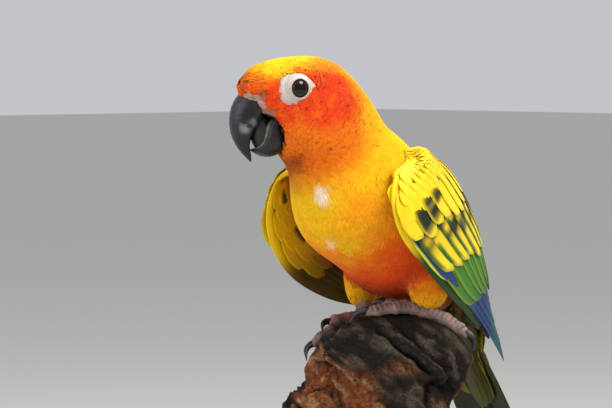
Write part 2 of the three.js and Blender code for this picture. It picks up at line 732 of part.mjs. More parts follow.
place('head', headSolid(), 'face');
place('upper_bill', upperBill(0), 'bill');
place('lower_bill', lowerBill(0).subtract(upperBill(GAP)), 'bill');
place('tongue', tongueBall(0).subtract(upperBill(GAP)).subtract(lowerBill(GAP)), 'claw');
for (const [label, side] of sides) {
  const [x, y, z] = EYE_PLACE;
  place(`eye_${label}`, ball([x, side * y, z], [1, 1, 1].map(() => EYE_RADIUS), [14, 10]), 'eye');
}
place('neck', fleshFine.intersect(beyond(HEAD_CUT, -1)).intersect(beyond(NECK_CUT, 1)), 'neck');
const feet = new Map(sides.map(([label, side]) => [label, footSolid(side, 0)]));
const feetKeepOut = footSolid(1, GAP).add(footSolid(-1, GAP));
const torso = fleshCoarse.intersect(beyond(NECK_CUT, -1)).intersect(beyond(TAIL_CUT, -1));
place('torso', torso.subtract(feetKeepOut), 'body');

const tail = tailSolid();
place('tail', tail, 'tail');
for (const [label, side] of sides) place(`wing_${label}`, makeWing(label, side), 'wing');

for (const [label, side] of sides) {
  const thigh = fieldSolid(thighField(side), [side > 0 ? 0 : -30, -4, -8], [side > 0 ? 30 : 0, 36, 32], 2.6);
  place(`leg_${label}`, thigh.subtract(bodyKeepOut).subtract(feetKeepOut), 'thigh');
  place(`foot_${label}`, feet.get(label), 'foot');
  for (const toe of TOES) place(`claw_${label}_${toe.name}`, clawSolid(side, toe), 'claw');
}

place('perch', logSolid(), 'log');
place('stand_rod_front', rod(BASE_CENTRE[0] - 6, 0), 'steel');
place('stand_rod_back', rod(BASE_CENTRE[0] + 8, 14), 'steel');
place('stand_base', base(), 'base');

// The model rests on its base, centred on the middle of its own box.
const box = new THREE.Box3().setFromObject(conure);
conure.position.set(-(box.min.x + box.max.x) / 2, -(box.min.y + box.max.y) / 2, -box.min.z);
export default conure;
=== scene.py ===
"""A sun conure at life size, perched on a cut length of weathered log over a display stand."""
import math

import bpy
import numpy as np
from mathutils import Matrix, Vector


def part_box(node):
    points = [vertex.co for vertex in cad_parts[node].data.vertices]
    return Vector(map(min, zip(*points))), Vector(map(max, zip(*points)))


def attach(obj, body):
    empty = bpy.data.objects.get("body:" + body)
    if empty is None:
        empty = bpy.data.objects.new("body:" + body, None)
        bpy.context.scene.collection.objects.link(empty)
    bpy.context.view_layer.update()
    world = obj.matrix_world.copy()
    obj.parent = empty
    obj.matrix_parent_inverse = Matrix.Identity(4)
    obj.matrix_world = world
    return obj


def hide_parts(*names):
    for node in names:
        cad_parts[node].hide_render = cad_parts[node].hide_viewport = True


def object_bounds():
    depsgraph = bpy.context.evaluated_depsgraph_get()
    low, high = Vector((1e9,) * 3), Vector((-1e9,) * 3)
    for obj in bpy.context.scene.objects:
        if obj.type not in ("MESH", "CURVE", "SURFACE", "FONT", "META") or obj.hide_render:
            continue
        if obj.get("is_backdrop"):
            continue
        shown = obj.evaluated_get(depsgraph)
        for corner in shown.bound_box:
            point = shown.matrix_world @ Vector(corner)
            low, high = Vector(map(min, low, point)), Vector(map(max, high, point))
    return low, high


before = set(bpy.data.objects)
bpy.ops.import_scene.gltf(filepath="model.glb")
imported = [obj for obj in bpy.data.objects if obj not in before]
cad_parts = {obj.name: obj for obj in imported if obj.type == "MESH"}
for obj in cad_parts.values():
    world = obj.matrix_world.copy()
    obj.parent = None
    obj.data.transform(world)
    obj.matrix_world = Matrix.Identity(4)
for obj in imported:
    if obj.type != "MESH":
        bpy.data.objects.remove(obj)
cad_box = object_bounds()

# Where things are: the bird keeps its own millimetres, with z = 0 on the log under its feet.
# It faces -Y and its own left is +X. The base and the saw cut under the log place it in the scene.
BASE_CENTRE = (2, 18)
LOG_DEPTH = 44
base_low, base_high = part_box("stand_base")
bird_origin = np.array(
    [
        (base_low[0] + base_high[0]) / 2 - BASE_CENTRE[0] / 1000,
        (base_low[1] + base_high[1]) / 2 - BASE_CENTRE[1] / 1000,
        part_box("perch")[0][2] + LOG_DEPTH / 1000,
    ]
)


def to_scene(points):
    return np.asarray(points, dtype=float) / 1000 + bird_origin


# Camera: a long lens a metre and a quarter away, level with the breast and at the bird's front left.
# The picture keeps the bird right of its middle, with the tail and the log running off below.
VIEW_TURN, VIEW_LIFT, VIEW_DISTANCE = math.radians(45), math.radians(4), 1250
PIXELS_PER_MM = 3.11
PICTURE_WIDTH = 612
BIRD_IN_PICTURE = (-59, 106)
SENSOR = 36
view_right = np.array([math.cos(VIEW_TURN), math.sin(VIEW_TURN), 0])
view_toward = np.array(
    [
        math.sin(VIEW_TURN) * math.cos(VIEW_LIFT),
        -math.cos(VIEW_TURN) * math.cos(VIEW_LIFT),
        math.sin(VIEW_LIFT),
    ]
)
view_up = np.cross(view_toward, view_right)
camera = bpy.data.objects.new("camera", bpy.data.cameras.new("camera"))
bpy.context.scene.collection.objects.link(camera)
camera_place = view_toward * VIEW_DISTANCE
aim = (view_right * BIRD_IN_PICTURE[0] + view_up * BIRD_IN_PICTURE[1]) / PIXELS_PER_MM
camera.location = to_scene(camera_place)
camera.rotation_euler = Vector(aim - camera_place).to_track_quat("-Z", "Y").to_euler()
camera.data.sensor_width = SENSOR
camera.data.lens = SENSOR * VIEW_DISTANCE * PIXELS_PER_MM / PICTURE_WIDTH
camera.data.clip_start = 0.05
camera.data.clip_end = 20
bpy.context.scene.camera = camera


# Skin: the bird's flesh is one smooth body under its coat, from the crown to the root of the tail,
# with both thighs. It is a blend of rounded volumes, meshed on a grid and drawn onto its own surface,
# and it lies as far under the solids as the small feathers stand.
HEAD_TURN = math.radians(35)
HEAD_CENTRE = np.array([-3, -22, 68.4])
TRUNK_PITCH = -42
TAIL_PITCH = -59
EYE_PLACE = (5, 9.3, 3.2)
EYE_RADIUS = 4.3
COAT_DEPTH = (0.3, 0.9)
head_axes = np.array(
    [
        [-math.sin(HEAD_TURN), math.cos(HEAD_TURN), 0],
        [-math.cos(HEAD_TURN), -math.sin(HEAD_TURN), 0],
        [0, 0, 1],
    ]
)


def from_head(local):
    return np.asarray(local, dtype=float) @ head_axes.T + HEAD_CENTRE


def to_head(points):
    return (points - HEAD_CENTRE) @ head_axes


def pitched(degrees):
    c, s = math.cos(math.radians(degrees)), math.sin(math.radians(degrees))
    return np.array([[1, 0, 0], [0, c, -s], [0, s, c]])


def blob(centre, radii, turn=np.eye(3)):
    """The distance from a rounded volume, roughly in millimetres and below zero inside it."""
    radii = np.array(radii, dtype=float)

    def distance(points):
        local = (points - np.array(centre)) @ turn
        near = np.linalg.norm(local / radii, axis=-1)
        slope = np.linalg.norm(local / radii**2, axis=-1)
        return near * (near - 1) / np.maximum(slope, 1e-9)

    return distance


def head_blob(centre, radii):
    return blob(from_head(centre), radii, head_axes)


def blend(fields, soft):
    """Volumes run into one another, with fillets of about the soft distance."""
    def distance(points):
        total = fields[0](points)
        for field in fields[1:]:
            value = field(points)
            mix = np.maximum(soft - np.abs(total - value), 0) / soft
            total = np.minimum(total, value) - mix * mix * soft / 4
        return total

    return distance


def slope_of(field, points):
    h = 0.05
    steps = np.eye(3) * h
    return np.stack([field(points + step) - field(points - step) for step in steps], -1) / (2 * h)


def unit(vectors):
    return vectors / np.maximum(np.linalg.norm(vectors, axis=-1, keepdims=True), 1e-9)


def onto(field, points, offset=0.0, rounds=3):
    """Points moved along a field's slope until the field has the wanted value there."""
    placed = np.array(points, dtype=float)
    for _ in range(rounds):
        slope = slope_of(field, placed)
        steep = np.maximum((slope**2).sum(-1), 0.05)
        placed -= slope * ((field(placed) - offset) / steep)[..., None]
    return placed


trunk = blend(
    [
        blob((0, 9, 30.5), (20.5, 34, 19), pitched(TRUNK_PITCH)),
        blob((0, -3, 35.5), (21, 21, 20.5)),
        blob((0, 12, 22), (17, 20, 15), pitched(TRUNK_PITCH)),
        blob((0, 30, 11), (13.5, 20, 12), pitched(TRUNK_PITCH)),
        blob((0, 42, -4), (7.5, 13, 5.2), pitched(TAIL_PITCH)),
        blob((0, -9, 48), (16, 15, 14)),
        blob((-1.5, -15, 56), (13.5, 13, 13)),
    ],
    8,
)
skull = blend(
    [
        head_blob((0.5, 0, -2.2), (16.5, 12.6, 15.2)),
        head_blob((11.5, 0, 3), (10.6, 9, 8.2)),
        head_blob((2, 0, -8.5), (9.5, 10.2, 10.5)),
        head_blob((-7.5, 0, -8.5), (12.5, 12.8, 12.5)),
    ],
    6,
)
body = blend([trunk, skull], 7)
thighs = [
    blend([blob((side * 13.5, 17, 15), (7.5, 10, 9.5)), blob((side * 14.7, 14, 6), (5, 5.6, 7))], 6)
    for side in (1, -1)
]
forehead_tuft = head_blob((19.0, 0, 3.2), (4.0, 6.0, 2.9))
covered = blend([body, *thighs, forehead_tuft], 2.5)
# The cheeks stop at the back of the lower bill and leave its sides in view.
cheek_edge = head_blob((14.8, 0, -11.9), (6.3, 14, 7.2))


def flesh(points):
    return np.maximum(covered(points), -cheek_edge(points))


def smooth(low, high, value):
    share = np.clip((value - low) / (high - low), 0, 1)
    return share * share * (3 - 2 * share)


def headness(points):
    """1 on the head and 0 on the trunk, changing down the neck."""
    away = np.linalg.norm(points - from_head((0, 0, -3)), axis=-1)
    return 1 - smooth(15, 31, away)


def head_places(points):
    """Each point's place forward, out from the middle plane and up, from the middle of the head."""
    local = to_head(points)
    return local[..., 0], np.abs(local[..., 1]), local[..., 2]


def eye_distance(points):
    f, s, v = head_places(points)
    return np.sqrt((f - EYE_PLACE[0]) ** 2 + (s - EYE_PLACE[1]) ** 2 + (v - EYE_PLACE[2]) ** 2)


def skin_field(points):
    face = headness(points)
    inset = flesh(points) + COAT_DEPTH[1] + (COAT_DEPTH[0] - COAT_DEPTH[1]) * face
    return np.maximum(inset, EYE_RADIUS + 0.1 - eye_distance(points))


def surface_net(field, low, high, step):
    """A closed mesh of quads on the zero of a field."""
    axes = [np.arange(a, b + step, step) for a, b in zip(low, high)]
    shape = tuple(len(axis) for axis in axes)
    grid = np.stack(np.meshgrid(*axes, indexing="ij"), -1)
    value = np.concatenate([field(slab) for slab in grid]).reshape(shape)
    inside = value < 0
    cells = tuple(n - 1 for n in shape)
    corner = lambda i, j, k: inside[i : i + cells[0], j : j + cells[1], k : k + cells[2]]
    count = sum(corner(i, j, k).astype(int) for i in (0, 1) for j in (0, 1) for k in (0, 1))
    mixed = (count > 0) & (count < 8)
    number = np.full(cells, -1)
    number[mixed] = np.arange(mixed.sum())
    points = (np.argwhere(mixed) + 0.5) * step + np.array(low)
    quads = []
    for axis in range(3):
        u, v = (axis + 1) % 3, (axis + 2) % 3
        ahead = [slice(None)] * 3
        ahead[axis] = slice(1, None)
        here = [slice(None)] * 3
        here[axis] = slice(None, -1)
        edges = np.argwhere(inside[tuple(here)] != inside[tuple(ahead)])
        starts = inside[tuple(here)][tuple(edges.T)]
        ring = []
        for a, b in ((0, 0), (1, 0), (1, 1), (0, 1)):
            cell = edges.copy()
            cell[:, u] -= a
            cell[:, v] -= b
            ring.append(number[tuple(cell.T)])
        quad = np.stack(ring, 1)
        quad[~starts] = quad[~starts][:, ::-1]
        quads.append(quad)
    return points, np.concatenate(quads)


def add_piece(name, points, faces, material, colours=None, maps=None, shade_smooth=True):
    """A mesh object in the scene from points in the bird's millimetres. Faces are rows of one length."""
    faces = np.asarray(faces, dtype=np.int32)
    mesh = bpy.data.meshes.new(name)
    mesh.vertices.add(len(points))
    mesh.vertices.foreach_set("co", to_scene(points).ravel())
    mesh.loops.add(faces.size)
    mesh.loops.foreach_set("vertex_index", faces.ravel())
    mesh.polygons.add(len(faces))
    mesh.polygons.foreach_set("loop_start", np.arange(0, faces.size, faces.shape[1], dtype=np.int32))
    mesh.update(calc_edges=True)
    mesh.polygons.foreach_set("use_smooth", np.full(len(faces), shade_smooth))
    if colours is not None:
        paint = mesh.color_attributes.new(name="Pigment", type="FLOAT_COLOR", domain="POINT")
        rgba = np.ones((len(points), 4))
        rgba[:, :3] = colours
        paint.data.foreach_set("color", rgba.ravel())
    for label, place in (maps or {}).items():
        layer = mesh.uv_layers.new(name=label)
        layer.data.foreach_set("uv", place[faces.ravel()].astype(np.float32).ravel())
    mesh.materials.append(material)
    piece = bpy.data.objects.new(name, mesh)
    bpy.context.scene.collection.objects.link(piece)
    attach(piece, "root")
    return piece


def linear(code):
    """Linear colour of an sRGB hex value."""
    value = np.array([int(code[i : i + 2], 16) for i in (1, 3, 5)]) / 255
    return np.where(value <= 0.04045, value / 12.92, ((value + 0.055) / 1.055) ** 2.4)


NOISE_STRIDES = np.array([73856093, 19349663, 83492791])
NOISE_SEED_STRIDE = 2654435761
NOISE_ROUNDS = ((15, 2246822519), (13, 3266489917))


def lattice_noise(points, size, seed=0):
    """Smooth noise from 0 to 1 whose lumps are about size millimetres."""
    place = np.asarray(points) / size + 37.7
    cell = np.floor(place).astype(np.int64)
    share = place - cell
    share = share * share * (3 - 2 * share)
    total = np.zeros(place.shape[:-1])
    for corner in np.ndindex(2, 2, 2):
        value = np.bitwise_xor.reduce((cell + np.array(corner)) * NOISE_STRIDES, axis=-1)
        value = (value ^ (seed * NOISE_SEED_STRIDE)) & 0xFFFFFFFF
        for shift, factor in NOISE_ROUNDS:
            value = (value ^ (value >> shift)) * factor & 0xFFFFFFFF
        value = (value ^ (value >> 16)) & 0xFFFF
        weight = 1.0
        for axis, far in enumerate(corner):
            weight = weight * (share[..., axis] if far else 1 - share[..., axis])
        total += weight * value / 0xFFFF
    return total


def layered(colour, *layers):
    """A ground colour under layers of paint, each with the share of every point that it covers."""
    for paint, share in layers:
        colour = colour + (paint - colour) * np.clip(share, 0, 1)[..., None]
    return colour


YELLOW, GOLDEN, AMBER = linear("#ffd000"), linear("#ffb800"), linear("#f79008")
ORANGE, RED_ORANGE, DEEP_RED_AND_SHADE = linear("#fb7000"), linear("#ee4200"), linear("#a02603")
CHIN_SHADE_BROWN, WHITE_DOWN, OLIVE_GOLD = linear("#7a2408"), linear("#fdf0d8"), linear("#a08a14")
SHADED_VENT_OLIVE = linear("#6f5a12")
BILL_SOCKET_SHADE, BARE_GREY = linear("#4a160c"), linear("#9a7468")
# The bare ring round the eye: how far it reaches at each angle, from the front and up over the top.
RING_ANGLES = [0, 27, 60, 90, 135, 171, 200, 250, 270, 290, 315, 335, 360]
RING_RADII = [6.7, 6.2, 4.9, 4.2, 4.0, 5.1, 4.3, 4.2, 4.6, 5.4, 7.0, 6.9, 6.7]


def in_view(across, up):
    """The place on the breast that the camera sees so far across and up from the log's top."""
    depth = np.arange(60, -20, -0.25)[:, None]
    ray = view_right * across + view_up * up + view_toward * depth
    return ray[np.argmax(flesh(ray) < 0)]


WHITE_SPOT, PALE_SPOT = in_view(-14.1, 38.6), in_view(-12.2, 23.2)


def bare(points):
    """Where there is bare skin or bill, and no feather grows."""
    f, s, v = head_places(points)
    turn = np.arctan2(v - EYE_PLACE[2], f - EYE_PLACE[0])
    reach = np.interp(np.degrees(turn) % 360, RING_ANGLES, RING_RADII)
    margin = 0.7 * np.maximum(np.cos(turn), 0) - 0.15
    ring = (np.hypot(f - EYE_PLACE[0], v - EYE_PLACE[2]) < reach + margin) & (s > 5)
    cere = (f > 15.4) & (v < 2.7) & (v > -3.2)
    gape = (f > 12.2) & (v <= -3) & (v > -6)
    shank = (points[..., 2] < 4.5) & (points[..., 1] < 30)
    return ring | cere | gape | (cheek_edge(points) < 0.4) | shank


BELLY_FACING = np.array([0, -0.66, -0.75])
# The white feathers on the breast: where, how far they reach and how much they cover.
WHITE_PATCHES = ((WHITE_SPOT, 2.3, 0.85), (PALE_SPOT, 1.5, 0.45))
WHITE_PATCH_SHAPE = np.array([1, 1, 1.25])


def plumage(points, normals):
    """The colour of the coat at a place on the bird: the same for the skin and each feather."""
    lump = lattice_noise(points, 7, 1) - 0.5
    fine = lattice_noise(points, 2.3, 2) - 0.5
    cloud = lattice_noise(points, 11, 5) - 0.5
    flecks = smooth(0.5, 0.85, lattice_noise(points, 1.5, 7)) * 0.5
    local = to_head(points) + (lump * 3 + fine * 1.6)[..., None]
    f, v = local[..., 0], local[..., 2]
    x, y, z = points[..., 0], points[..., 1], points[..., 2] + lump * 8 + fine * 4
    face = headness(points)
    ventral = smooth(-0.35, 0.25, normals @ BELLY_FACING)
    low = z - 0.45 * np.abs(x) - 0.35 * (y + 10)
    thigh = smooth(1.5, -0.5, np.minimum(thighs[0](points), thighs[1](points)))
    thigh = thigh * smooth(12, 4, body(points) * -6 + 8)

    def oval(outer, inner, forward, up, half_length, half_height):
        """A patch on the side of the head, whole inside its inner share and gone past its outer."""
        return smooth(outer, inner, np.hypot((f - forward) / half_length, (v - up) / half_height))

    mask = np.maximum(oval(1.2, 0.62, -1.5, 0.5, 13.2, 10), oval(1.25, 0.6, 11, -1.5, 8.5, 7.5))
    colour = layered(
        GOLDEN,
        # Breast: golden with yellow and amber clouds.
        (YELLOW, smooth(-0.2, 0.25, lump) * 0.85),
        (AMBER, smooth(0.02, 0.4, cloud) * 0.6),
        # The lower breast and flanks deepen to red under the wings, and the darkest red, lowest on the belly,
        # is painted shade.
        (ORANGE, smooth(27, 15, low) * ventral),
        (RED_ORANGE, smooth(17, 6, low) * ventral * 0.75),
        (DEEP_RED_AND_SHADE, smooth(8, -4, low) * ventral * 0.6),
        # Back and nape stay yellow, with the rump olive-gold and the vent olive, darkened as painted shade.
        (YELLOW, (1 - ventral) * 0.85),
        (OLIVE_GOLD, smooth(36, 50, y) * 0.6),
        (SHADED_VENT_OLIVE, smooth(20, 30, y) * ventral),
        # Thighs: red-orange above, golden at the shank.
        (layered(RED_ORANGE, (GOLDEN, smooth(17, 5, z))), thigh),
        # Neck, crown and nape, then the red-orange mask with its flecks.
        (ORANGE, oval(1.15, 0.55, 2, -10, 20, 17) * 0.9),
        (YELLOW, smooth(6, 11, v) * face),
        (GOLDEN, smooth(-12, -17, f) * face * 0.8),
        (RED_ORANGE, mask),
        (ORANGE, flecks * mask),
        (ORANGE, oval(1.1, 0.5, -5, 11.5, 9, 3) * 0.6),
        # The forehead's front edge, and the chin darkened to brown as painted shade under the lower bill.
        (RED_ORANGE, smooth(17.5, 20.5, f) * smooth(8.5, 5.5, v) * 0.9),
        (CHIN_SHADE_BROWN, smooth(-15.5, -19, v) * smooth(0, 6, f) * face * 0.75),
    )
    ragged = fine * 2.4 + lump
    for place, size, cover in WHITE_PATCHES:
        away = np.linalg.norm((points - place) / WHITE_PATCH_SHAPE, axis=-1)
        colour = layered(colour, (WHITE_DOWN, smooth(size + 1.2, size - 0.8, away + ragged) * cover))
    colour = np.where(bare(points)[..., None], BARE_GREY, colour)
    # Painted shade where the cheek feathers meet the lower bill: the coat darkens to a deep red-brown.
    return layered(colour, (BILL_SOCKET_SHADE, smooth(0.7, 0.35, cheek_edge(points))))


def add_node(tree, kind, links=None, **settings):
    """One node with its settings, and links from other nodes' outputs into its inputs."""
    node = tree.nodes.new(kind)
    for label, value in settings.items():
        if hasattr(node, label):
            setattr(node, label, value)
        else:
            node.inputs[label.replace("_", " ")].default_value = value
    for label, source in (links or {}).items():
        tree.links.new(source, node.inputs[label])
    return node


def new_material(name, **sockets):
    material = bpy.data.materials.new(name)
    material.use_nodes = True
    tree = material.node_tree
    tree.nodes.clear()
    shader = add_node(tree, "ShaderNodeBsdfPrincipled", **sockets)
    add_node(tree, "ShaderNodeOutputMaterial", {"Surface": shader.outputs[0]})
    return material, tree, shader


def toned(tree, colour, value, **sockets):
    """A colour made lighter and darker by a value, between the shares that the sockets give."""
    shade = add_node(tree, "ShaderNodeMapRange", {"Value": value}, **sockets)
    tint = add_node(tree, "ShaderNodeVectorMath", {0: colour}, operation="SCALE")
    tree.links.new(shade.outputs["Result"], tint.inputs["Scale"])
    return tint.outputs["Vector"]


def pigmented(name, roughness, speck_mm, speck_depth, bump_mm, bump_height, **sockets):
    """A finish that shows the piece's own pigment, broken by specks of a real size, in a fine relief."""
    material, tree, shader = new_material(name, Roughness=roughness, **sockets)
    where = {"Vector": add_node(tree, "ShaderNodeTexCoord").outputs["Object"]}
    pigment = add_node(tree, "ShaderNodeVertexColor", layer_name="Pigment")
    speck = add_node(tree, "ShaderNodeTexNoise", where, Scale=1000 / speck_mm, Detail=3.0)
    tint = toned(
        tree, pigment.outputs["Color"], speck.outputs["Fac"],
        From_Min=0.25, From_Max=0.75, To_Min=1 - speck_depth, To_Max=1 + speck_depth * 0.5,
    )
    tree.links.new(tint, shader.inputs["Base Color"])
    relief = add_node(tree, "ShaderNodeTexNoise", where, Scale=1000 / bump_mm, Detail=2.0)
    bump = add_node(tree, "ShaderNodeBump", {"Height": relief.outputs["Fac"]}, Distance=bump_height / 1000)
    tree.links.new(bump.outputs["Normal"], shader.inputs["Normal"])
    return material


# Down and contour feathers scatter light softly, with a faint sheen along their barbs.
down_finish = pigmented("down", 0.8, 0.9, 0.14, 0.3, 0.05, Sheen_Weight=0.04, Specular_IOR_Level=0.25)
SKIN_STEP = 1.1
SKIN_BOX = ((-34, -62, -24), (34, 66, 92))
UNDER_COAT_SHADE = 0.88
skin_points, skin_faces = surface_net(skin_field, *SKIN_BOX, SKIN_STEP)
skin_points = onto(skin_field, skin_points)
skin_normals = unit(slope_of(flesh, skin_points))
skin_colours = plumage(skin_points, skin_normals) * UNDER_COAT_SHADE
skin = add_piece("skin", skin_points, skin_faces, down_finish, skin_colours)
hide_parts("head", "neck", "torso", "leg_left", "leg_right")


# Contour feathers: each is a fan of fine barbs that leaves the skin at a slant and lies along the body,
# tiny on the face, long and loose on the breast and the thighs.
COAT_SEED = 11
BARBS = 9
BARB_ENDS = np.array([0.0, 0.5, 1.0])
# A barb's seven points, two rings of left, right and ridge and then its tip: how far along each lies,
# how far to the side, and the triangles between them.
BARB_ALONG = np.array([0, 0, 0, 0.5, 0.5, 0.5, 1])
BARB_ASIDE = np.array([-0.06, 0.06, 0, -0.06, 0.06, 0, 0])
BARB_TRIANGLES = np.array(
    [[0, 2, 1], [0, 1, 4], [0, 4, 3], [1, 2, 5], [1, 5, 4]]
    + [[2, 0, 3], [2, 3, 5], [3, 4, 6], [4, 5, 6], [5, 3, 6]]
)
PIECE_TRIANGLES = 190000
TRIES_PER_FEATHER = 3.2
# A feather's spacing, length and width in millimetres, on the body and on the face.
SPACING, LENGTH, WIDTH = (1.3, 0.64), (7.6, 2.5), (3.9, 1.5)
FLOW_CENTRE = np.array([27, 0, -3.5])
BACK_FLOW, FRONT_FLOW = np.array([0, 0.75, -0.66]), np.array([0, 0.1, -1.0])


def flow(points, normals):
    """Which way the feathers point: away from the bill on the head, down and back on the body."""
    local = to_head(points)
    from_bill = unit(local - FLOW_CENTRE) @ head_axes.T
    front = smooth(-0.1, 0.6, -normals[..., 1])[..., None]
    on_body = BACK_FLOW * (1 - front) + FRONT_FLOW * front
    face = headness(points)[..., None]
    way = from_bill * face + on_body * (1 - face)
    way = way - normals * (way * normals).sum(-1, keepdims=True)
    return unit(way)


def from_body_to_face(pair, share):
    return pair[0] + (pair[1] - pair[0]) * share


def faceness(points):
    """1 where the feathers are the face's small ones."""
    return smooth(0.45, 0.95, headness(points))


def scatter(points, faces, seed):
    """Points spread evenly over a mesh of quads, no two nearer than the feathers' spacing there."""
    rng = np.random.default_rng(seed)
    corners = points[faces]
    to_next, to_far, to_last = (corners[:, i] - corners[:, 0] for i in (1, 2, 3))
    halves = np.cross(to_next, to_far), np.cross(to_far, to_last)
    area = (np.linalg.norm(halves[0], axis=1) + np.linalg.norm(halves[1], axis=1)) / 2
    gap = from_body_to_face(SPACING, faceness(corners.mean(1)))
    want = area / gap**2
    picked = rng.choice(len(faces), int(want.sum() * TRIES_PER_FEATHER), p=want / want.sum())
    u, v = rng.random((2, len(picked), 1))
    quad = corners[picked]
    places = (quad[:, 0] * (1 - u) + quad[:, 1] * u) * (1 - v) + (quad[:, 3] * (1 - u) + quad[:, 2] * u) * v
    gaps = gap[picked]
    keys = np.floor(places / gaps.max()).astype(int)
    near = [(i - 1, j - 1, k - 1) for i, j, k in np.ndindex(3, 3, 3)]
    taken, kept = {}, []

    def crowded(key, place, limit):
        for step in near:
            for other in taken.get((key[0] + step[0], key[1] + step[1], key[2] + step[2]), ()):
                x, y, z = other[0] - place[0], other[1] - place[1], other[2] - place[2]
                if x**2 + y**2 + z**2 < limit:
                    return True
        return False

    for index, (key, place, reach) in enumerate(zip(map(tuple, keys), places.tolist(), gaps.tolist())):
        if not crowded(key, place, reach * reach):
            taken.setdefault(key, []).append(place)
            kept.append(index)
    return places[kept]


def barb_mesh(roots, normals, ways, lengths, widths, heights, rng):
    """Fans of three-sided barbs: points, triangles, each point's fan, and its place along and across it."""
    count = len(roots)
    shape = (count, BARBS)
    normals, ways, over = normals[:, None, None], ways[:, None, None], np.cross(normals, ways)[:, None, None]
    widths = widths[:, None, None, None]
    spread = (np.arange(BARBS) / (BARBS - 1) * 2 - 1)[None, :] + rng.normal(0, 0.07, shape)
    reach = lengths[:, None] * (1 - 0.28 * spread**2) * rng.uniform(0.82, 1.1, shape)
    q = BARB_ENDS[None, None, :, None]
    open_out = widths / 2 * spread[..., None, None] * (0.12 + 0.88 * np.sqrt(q))
    centre = roots[:, None, None] + ways * (reach[..., None, None] * q) + over * open_out
    lift = heights[:, None, None] * (0.15 + 0.85 * np.sin(np.pi * 0.62 * BARB_ENDS))[None, None, :]
    lift = lift * rng.uniform(0.75, 1.2, (*shape, 1))
    # Every barb is drawn onto the body's surface, at the height where it lies.
    flat = centre.reshape(-1, 3)
    slope = slope_of(flesh, flat)
    steep = np.maximum((slope**2).sum(-1), 0.2)
    wanted = np.broadcast_to(lift, centre.shape[:-1]).reshape(-1)
    centre = (flat - slope * ((flesh(flat) - wanted) / steep)[:, None]).reshape(centre.shape)
    half = widths / BARBS * 0.8 * np.array([0.75, 1.0, 0.0])[:, None]
    rings = np.stack([centre - over * half, centre + over * half, centre + normals * half * 0.7], 3)[:, :, :2]
    points = np.concatenate([rings.reshape(*shape, 6, 3), centre[:, :, 2:]], 2)
    triangles = (np.arange(count * BARBS) * 7)[:, None, None] + BARB_TRIANGLES
    fan = np.repeat(np.arange(count), BARBS * 7)
    along = np.tile(BARB_ALONG, count * BARBS)
    side = np.repeat(spread.reshape(-1), 7) + np.tile(BARB_ASIDE, count * BARBS)
    return points.reshape(-1, 3), triangles.reshape(-1, 3), fan, along, side


UNWRAP_SPAN = 140.0
UNWRAP_MARGIN = 0.02
PATCH_WIDTH, PATCH_LENGTH = 0.0013, 0.003


def box_unwrap(points, normals):
    """Each place laid out on one of six flat sheets, by the way the skin faces there."""
    axis = np.abs(normals).argmax(-1)
    facing = np.take_along_axis(normals, axis[:, None], 1)[:, 0] > 0
    rows = np.arange(len(points))
    u = np.clip((points[rows, (axis + 1) % 3] + 62) / UNWRAP_SPAN, 0, 1) * (1 - 2 * UNWRAP_MARGIN)
    v = np.clip((points[rows, (axis + 2) % 3] + 50) / UNWRAP_SPAN, 0, 1) * (1 - 2 * UNWRAP_MARGIN)
    return np.stack([(axis + UNWRAP_MARGIN + u) / 3, (facing + UNWRAP_MARGIN + v) / 2], 1)


roots = scatter(skin_points, skin_faces, COAT_SEED)
roots = roots[~bare(roots)]
root_normals = unit(slope_of(flesh, roots))
root_ways = flow(roots, root_normals)
root_colours = plumage(roots, root_normals)
root_homes = box_unwrap(roots, root_normals)
on_face = faceness(roots)
forward, _, upward = head_places(roots)
forehead = smooth(18.5, 20.5, forward) * smooth(1.8, 3.4, upward)
vary = np.random.default_rng(COAT_SEED).uniform(0.85, 1.15, len(roots))
near_eye = smooth(9.5, 6, eye_distance(roots))
lengths = from_body_to_face(LENGTH, on_face) * vary * (1 - 0.45 * near_eye) * (1 + 0.2 * forehead)
widths = from_body_to_face(WIDTH, on_face)
heights = 0.15 + 0.25 * forehead
rng = np.random.default_rng(COAT_SEED)
order = np.argsort(roots[:, 2] + roots[:, 1] * 0.01)
per_piece = PIECE_TRIANGLES // (BARBS * len(BARB_TRIANGLES))
for number, start in enumerate(range(0, len(roots), per_piece)):
    pick = order[start : start + per_piece]
    points, triangles, fan, along, side = barb_mesh(
        roots[pick], root_normals[pick], root_ways[pick], lengths[pick], widths[pick], heights[pick], rng
    )
    shade = (0.8 + 0.26 * along) * rng.uniform(0.88, 1.08, len(pick))[fan]
    tone = np.clip(root_colours[pick][fan] * shade[:, None], 0, 1)
    patch = root_homes[pick][fan] + np.stack([side * PATCH_WIDTH, (along - 0.5) * PATCH_LENGTH], 1)
    coat = add_piece(f"coat_{number + 1}", points, triangles, down_finish, tone, {"OFBake": patch})


# Wings: each folds along a curved sheet from its leading edge at the breast to its back edge over
# the spine. Vanes lie on it in tiers like slates, small and round at the shoulder, long and narrow
# at the tip: yellow coverts with dark green middles, green secondaries, blue primaries.
LEADING_EDGES = {
    1: [
        (23, -1, 49), (29, -13, 43.9), (31.5, -16.9, 36.2), (32, -13.8, 26.4), (30, -2.7, 17), (26, 12.6, 7),
        (20, 27, 0), (14, 40, -7), (8, 54, -18), (4.5, 67, -36),
    ],
    -1: [
        (-23, -2, 49), (-27.5, -12, 43), (-31, -14.5, 33), (-33, -11.5, 21.4), (-33, -2, 10), (-29, 12, 2),
        (-21, 27, -2), (-14, 40, -8), (-8, 54, -18), (-4.5, 67, -36),
    ],
}
BACK_EDGE = [
    (15, 0, 51), (13.5, 7, 51), (12, 15.5, 49.5), (10.5, 25, 45.5), (9, 33.5, 38.5), (7.5, 40.5, 29.5),
    (6.2, 45, 19), (5, 49, 7), (4.2, 56, -8), (3.4, 67, -32),
]
WING_BULGE = (7.5, 1.5)  # the sheet's arch at the arm and at the tip
SHOULDER_FACING = 0.14  # before this share the sheet keeps one slant
VANE_TILT = 0.1
SIDES = {"left": 1, "right": -1}


